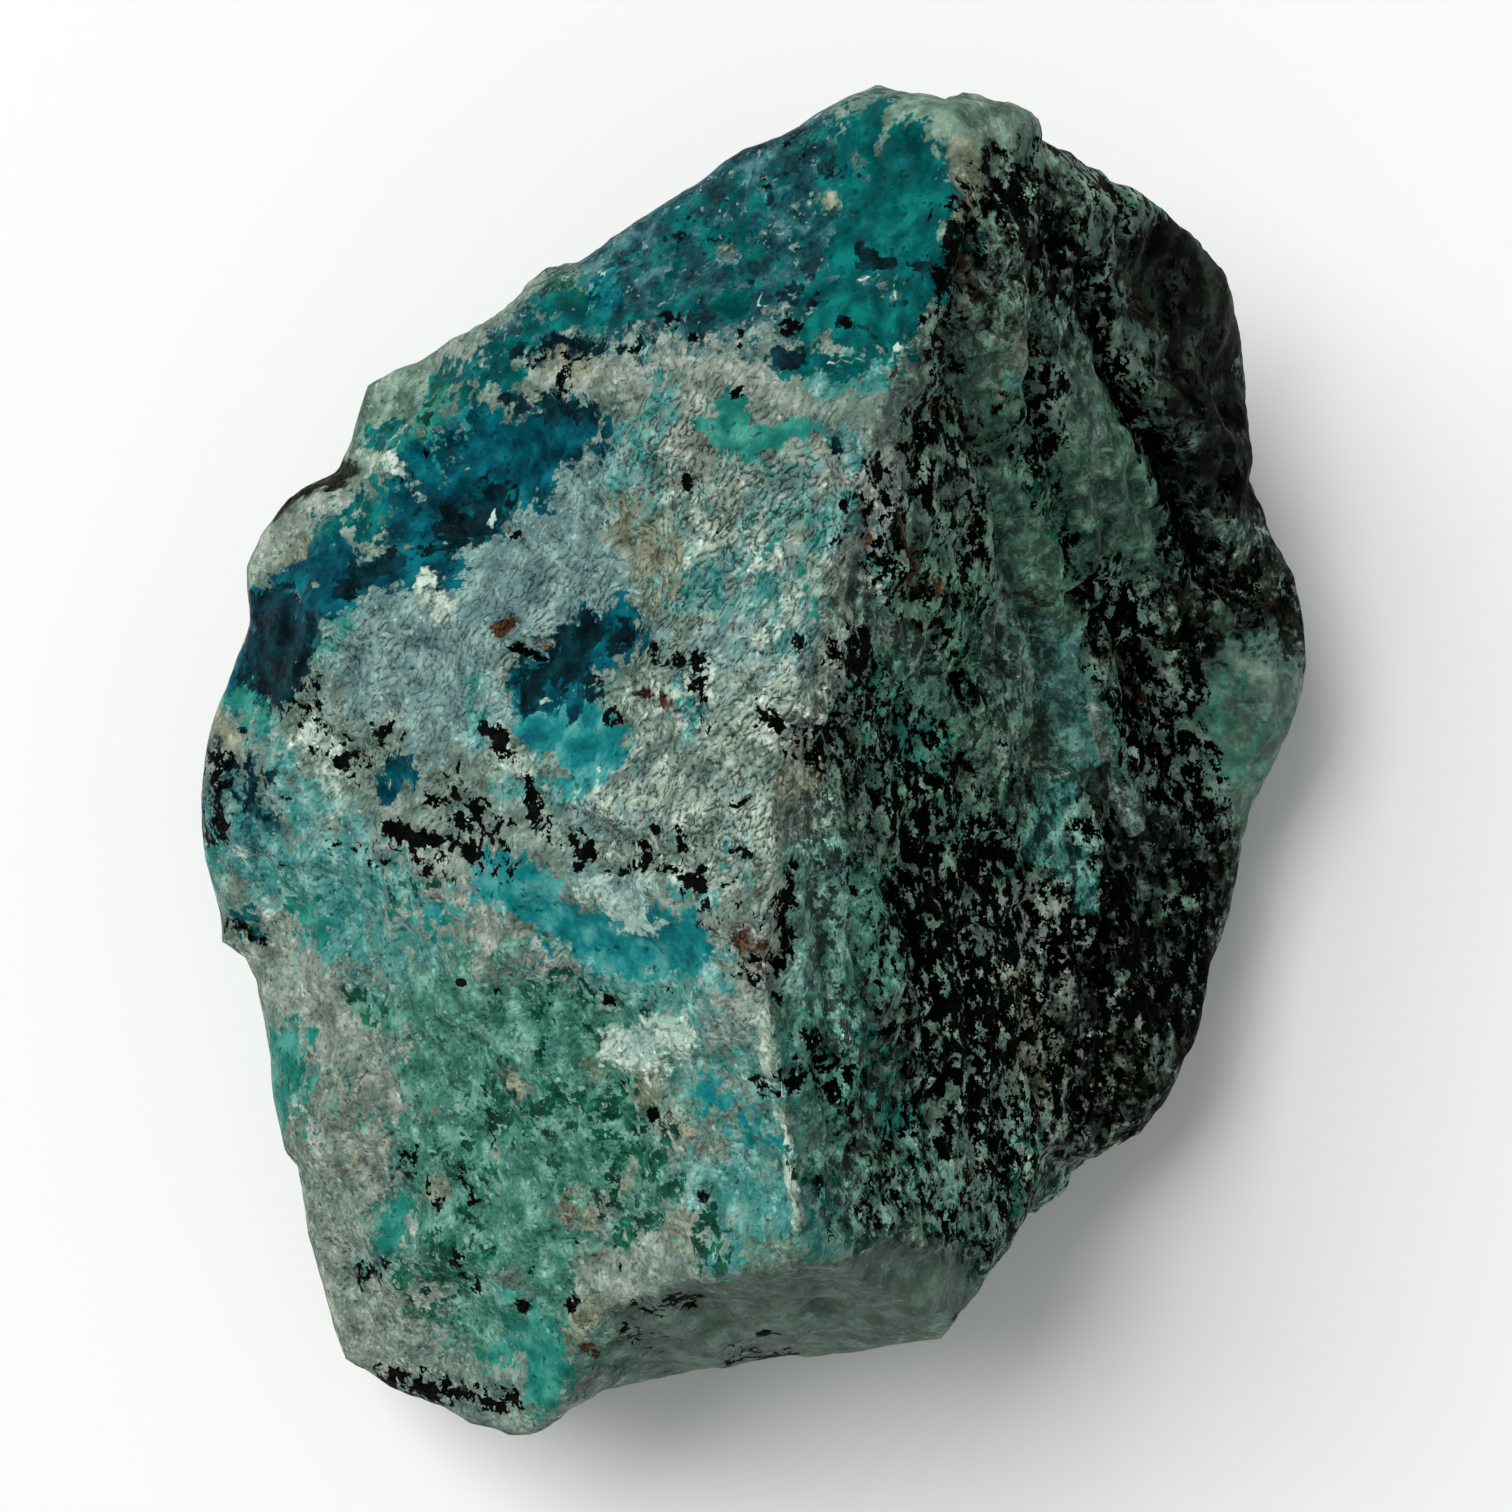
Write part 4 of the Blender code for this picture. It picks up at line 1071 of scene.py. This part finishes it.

    # how far the noises lighten or darken the tones, each between two levels of its noise
    # the leaves' tone: lighter leaf faces, partly their own paler colour and partly painted light, and
    # painted shade in the gaps
    leafFacePaleAndLit, gapShade = finish["leafLightAndShade"]
    changes = {}
    for name, source, first, last in (
        ("fleckDark", noises["fleck"], 0, -finish["fleckDark"]),
        ("fleckPale", lobes[1], 0, finish["fleckPaleShare"]),
        ("wrinkle", wrinkles, 0, -finish["wrinkleShadeTone"]),
        ("leaf", leaves, leafFacePaleAndLit, gapShade),
    ):
        low, high = finish["levels"][name]
        changes[name] = add("MapRange", {
            "Value": source, "From Min": low, "From Max": high, "To Min": first, "To Max": last,
        }, interpolation_type="SMOOTHSTEP")
    dry = add("Math", [add("Math", [bare, dark], operation="SUBTRACT"), 0], operation="MAXIMUM")
    paleFleck = add("Math", [changes["fleckPale"], dry], operation="MULTIPLY")
    colour = add("Mix", {0: paleFleck, 6: colour, 7: linearColour(finish["fleckPale"])},
                 data_type="RGBA").outputs[2]
    # the rarest grains turn pale: pale crystals, and in part painted glints
    rarest = add("Math", [dice["grain"][0], finish["grainRarity"]], operation="POWER")
    grainAndGlintTone = add("Math", [rarest, finish["grainPaleAndGlint"], -finish["grainDark"]], operation="MULTIPLY_ADD")
    grainAndGlintFactor = add("Math", [grainAndGlintTone, rougher, 1], operation="MULTIPLY_ADD")
    # painted shade in the creases of the wrinkles, where the crust is crazed
    creaseShade = add("Math", [changes["wrinkle"], cover["crazed"]], operation="MULTIPLY")
    creaseShade = add("Math", [creaseShade, rougher], operation="MULTIPLY")
    # crease shade on the crust, and on the foliated side the leaves' painted light and shade instead
    plateLightAndShade = add("Mix", {0: cover["foliated"], 2: creaseShade, 3: changes["leaf"]})
    plateLightShadeFactor = add("Math", [plateLightAndShade, 1], operation="ADD")
    fleckShade = add("Math", [changes["fleckDark"], 1], operation="ADD")
    shade = add("Math", [grainAndGlintFactor, plateLightShadeFactor], operation="MULTIPLY")
    shade = add("Math", [shade, fleckShade], operation="MULTIPLY")
    shade = add("Mix", {0: cover["dusted"], 2: shade, 3: finish["dustTone"]})
    # painted shade at the bottom of grooves and of the gaps between leaves
    grooveShadeFactor = add("Math", [cover["grooveShadeDepth"], -finish["grooveShadeTone"], 1], operation="MULTIPLY_ADD")
    shade = add("Math", [shade, grooveShadeFactor], operation="MULTIPLY")
    add("VectorMath", {0: colour, 3: shade}, operation="SCALE", to=shader.inputs["Base Color"])

    glint = add("Math", [dice["grain"][1], finish["glintShare"]], operation="LESS_THAN")
    dull = add("Math", [glint, -finish["glintPolish"], finish["roughness"]], operation="MULTIPLY_ADD")
    add("Math", [waxy, finish["waxyRoughness"] - finish["roughness"], dull], operation="MULTIPLY_ADD",
        to=shader.inputs["Roughness"])
    add("Mix", {0: dark, 2: finish["specular"], 3: finish["darkSpecular"]},
        to=shader.inputs["Specular IOR Level"])

    # each grain's face tilts its own way: offset from the grain's centre along a random direction
    offset = add("VectorMath", [place, cells["grain"]["Position"]], operation="SUBTRACT")
    tilt = add("VectorMath", [cells["grain"]["Color"], (0.5, 0.5, 0.5)], operation="SUBTRACT")
    facet = add("VectorMath", [offset, tilt], operation="DOT_PRODUCT").outputs["Value"]
    facetGain = finish["facetHeight"] / finish["grain"] * finish["facetGain"]
    facetHeight = add("Math", [facet, facetGain], operation="MULTIPLY")
    crazing = add("Math", [wrinkles, cover["crazed"]], operation="MULTIPLY")
    wrinkleHeight = add("Math", [crazing, -finish["wrinkleHeight"] * mm], operation="MULTIPLY")
    leafHeight = add("Math", [leaves, -finish["leafHeight"] * mm], operation="MULTIPLY")
    plateHeight = add("Mix", {0: cover["foliated"], 2: wrinkleHeight, 3: leafHeight})
    add("Bump", {
        "Height": add("Math", [facetHeight, plateHeight], operation="ADD"),
        "Distance": 1,
        "Strength": add("Math", [rougher, bare], operation="MULTIPLY"),
    }, to=shader.inputs["Normal"])
    return material


stone = buildStone(stoneForm)
stone.data.materials.append(chrysocollaRock())
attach(stone, "root")
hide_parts(stoneForm["node"])
print("stone: material done")


# Floor and light, in metres.
studio = {
    "floorSide": 3.0,
    "floorColour": "#f2f2f0",
    "floorRoughness": 0.9,
    "keyAzimuth": 140,  # degrees from +X, the way the key light comes from
    "keyElevation": 50,
    "keyDistance": 2.4,
    "keySide": 1.7,
    "keyPower": 62.0,
    "skyColour": "#f4f7fa",
    "skyStrength": 0.42,
}


# Painted board: matt and pale, so the eye sees a plain ground.
def paintedBoard():
    material = bpy.data.materials.new("painted board, matt")
    material.use_nodes = True
    shader = material.node_tree.nodes["Principled BSDF"]
    shader.inputs["Base Color"].default_value = linearColour(studio["floorColour"])
    shader.inputs["Roughness"].default_value = studio["floorRoughness"]
    return material


# the floor: one square under the stone
def layFloor():
    half = studio["floorSide"] / 2
    mesh = bpy.data.meshes.new("floor")
    corners = [(-half, -half, 0), (half, -half, 0), (half, half, 0), (-half, half, 0)]
    mesh.from_pydata(corners, [], [(0, 1, 2, 3)])
    mesh.materials.append(paintedBoard())
    floor = bpy.data.objects.new("floor", mesh)
    bpy.context.scene.collection.objects.link(floor)


# one soft lamp that faces the stone from its azimuth and elevation, and an even sky
def hangLights():
    azimuth, elevation = radians(studio["keyAzimuth"]), radians(studio["keyElevation"])
    lamp = bpy.data.lights.new("key softbox", "AREA")
    lamp.size = studio["keySide"]
    lamp.energy = studio["keyPower"]
    key = bpy.data.objects.new("key softbox", lamp)
    key.location = [studio["keyDistance"] * part for part in (
        cos(elevation) * cos(azimuth), cos(elevation) * sin(azimuth), sin(elevation))]
    key.rotation_euler = (radians(90) - elevation, 0, azimuth + radians(90))
    bpy.context.scene.collection.objects.link(key)
    sky = bpy.data.worlds.new("studio")
    sky.use_nodes = True
    glow = sky.node_tree.nodes["Background"]
    glow.inputs["Color"].default_value = linearColour(studio["skyColour"])
    glow.inputs["Strength"].default_value = studio["skyStrength"]
    bpy.context.scene.world = sky


# a camera straight above
def placeCamera():
    lens = bpy.data.cameras.new("camera")
    lens.lens = viewFrom["lens"]
    lens.sensor_width = viewFrom["sensor"]
    lens.clip_start = viewFrom["nearest"] * mm
    camera = bpy.data.objects.new("camera", lens)
    camera.location = (viewFrom["x"] * mm, viewFrom["y"] * mm, viewFrom["height"] * mm)
    bpy.context.scene.collection.objects.link(camera)
    bpy.context.scene.camera = camera


layFloor()
hangLights()
placeCamera()
bpy.context.scene.view_settings.view_transform = "Standard"
print("floor, lights and camera done")
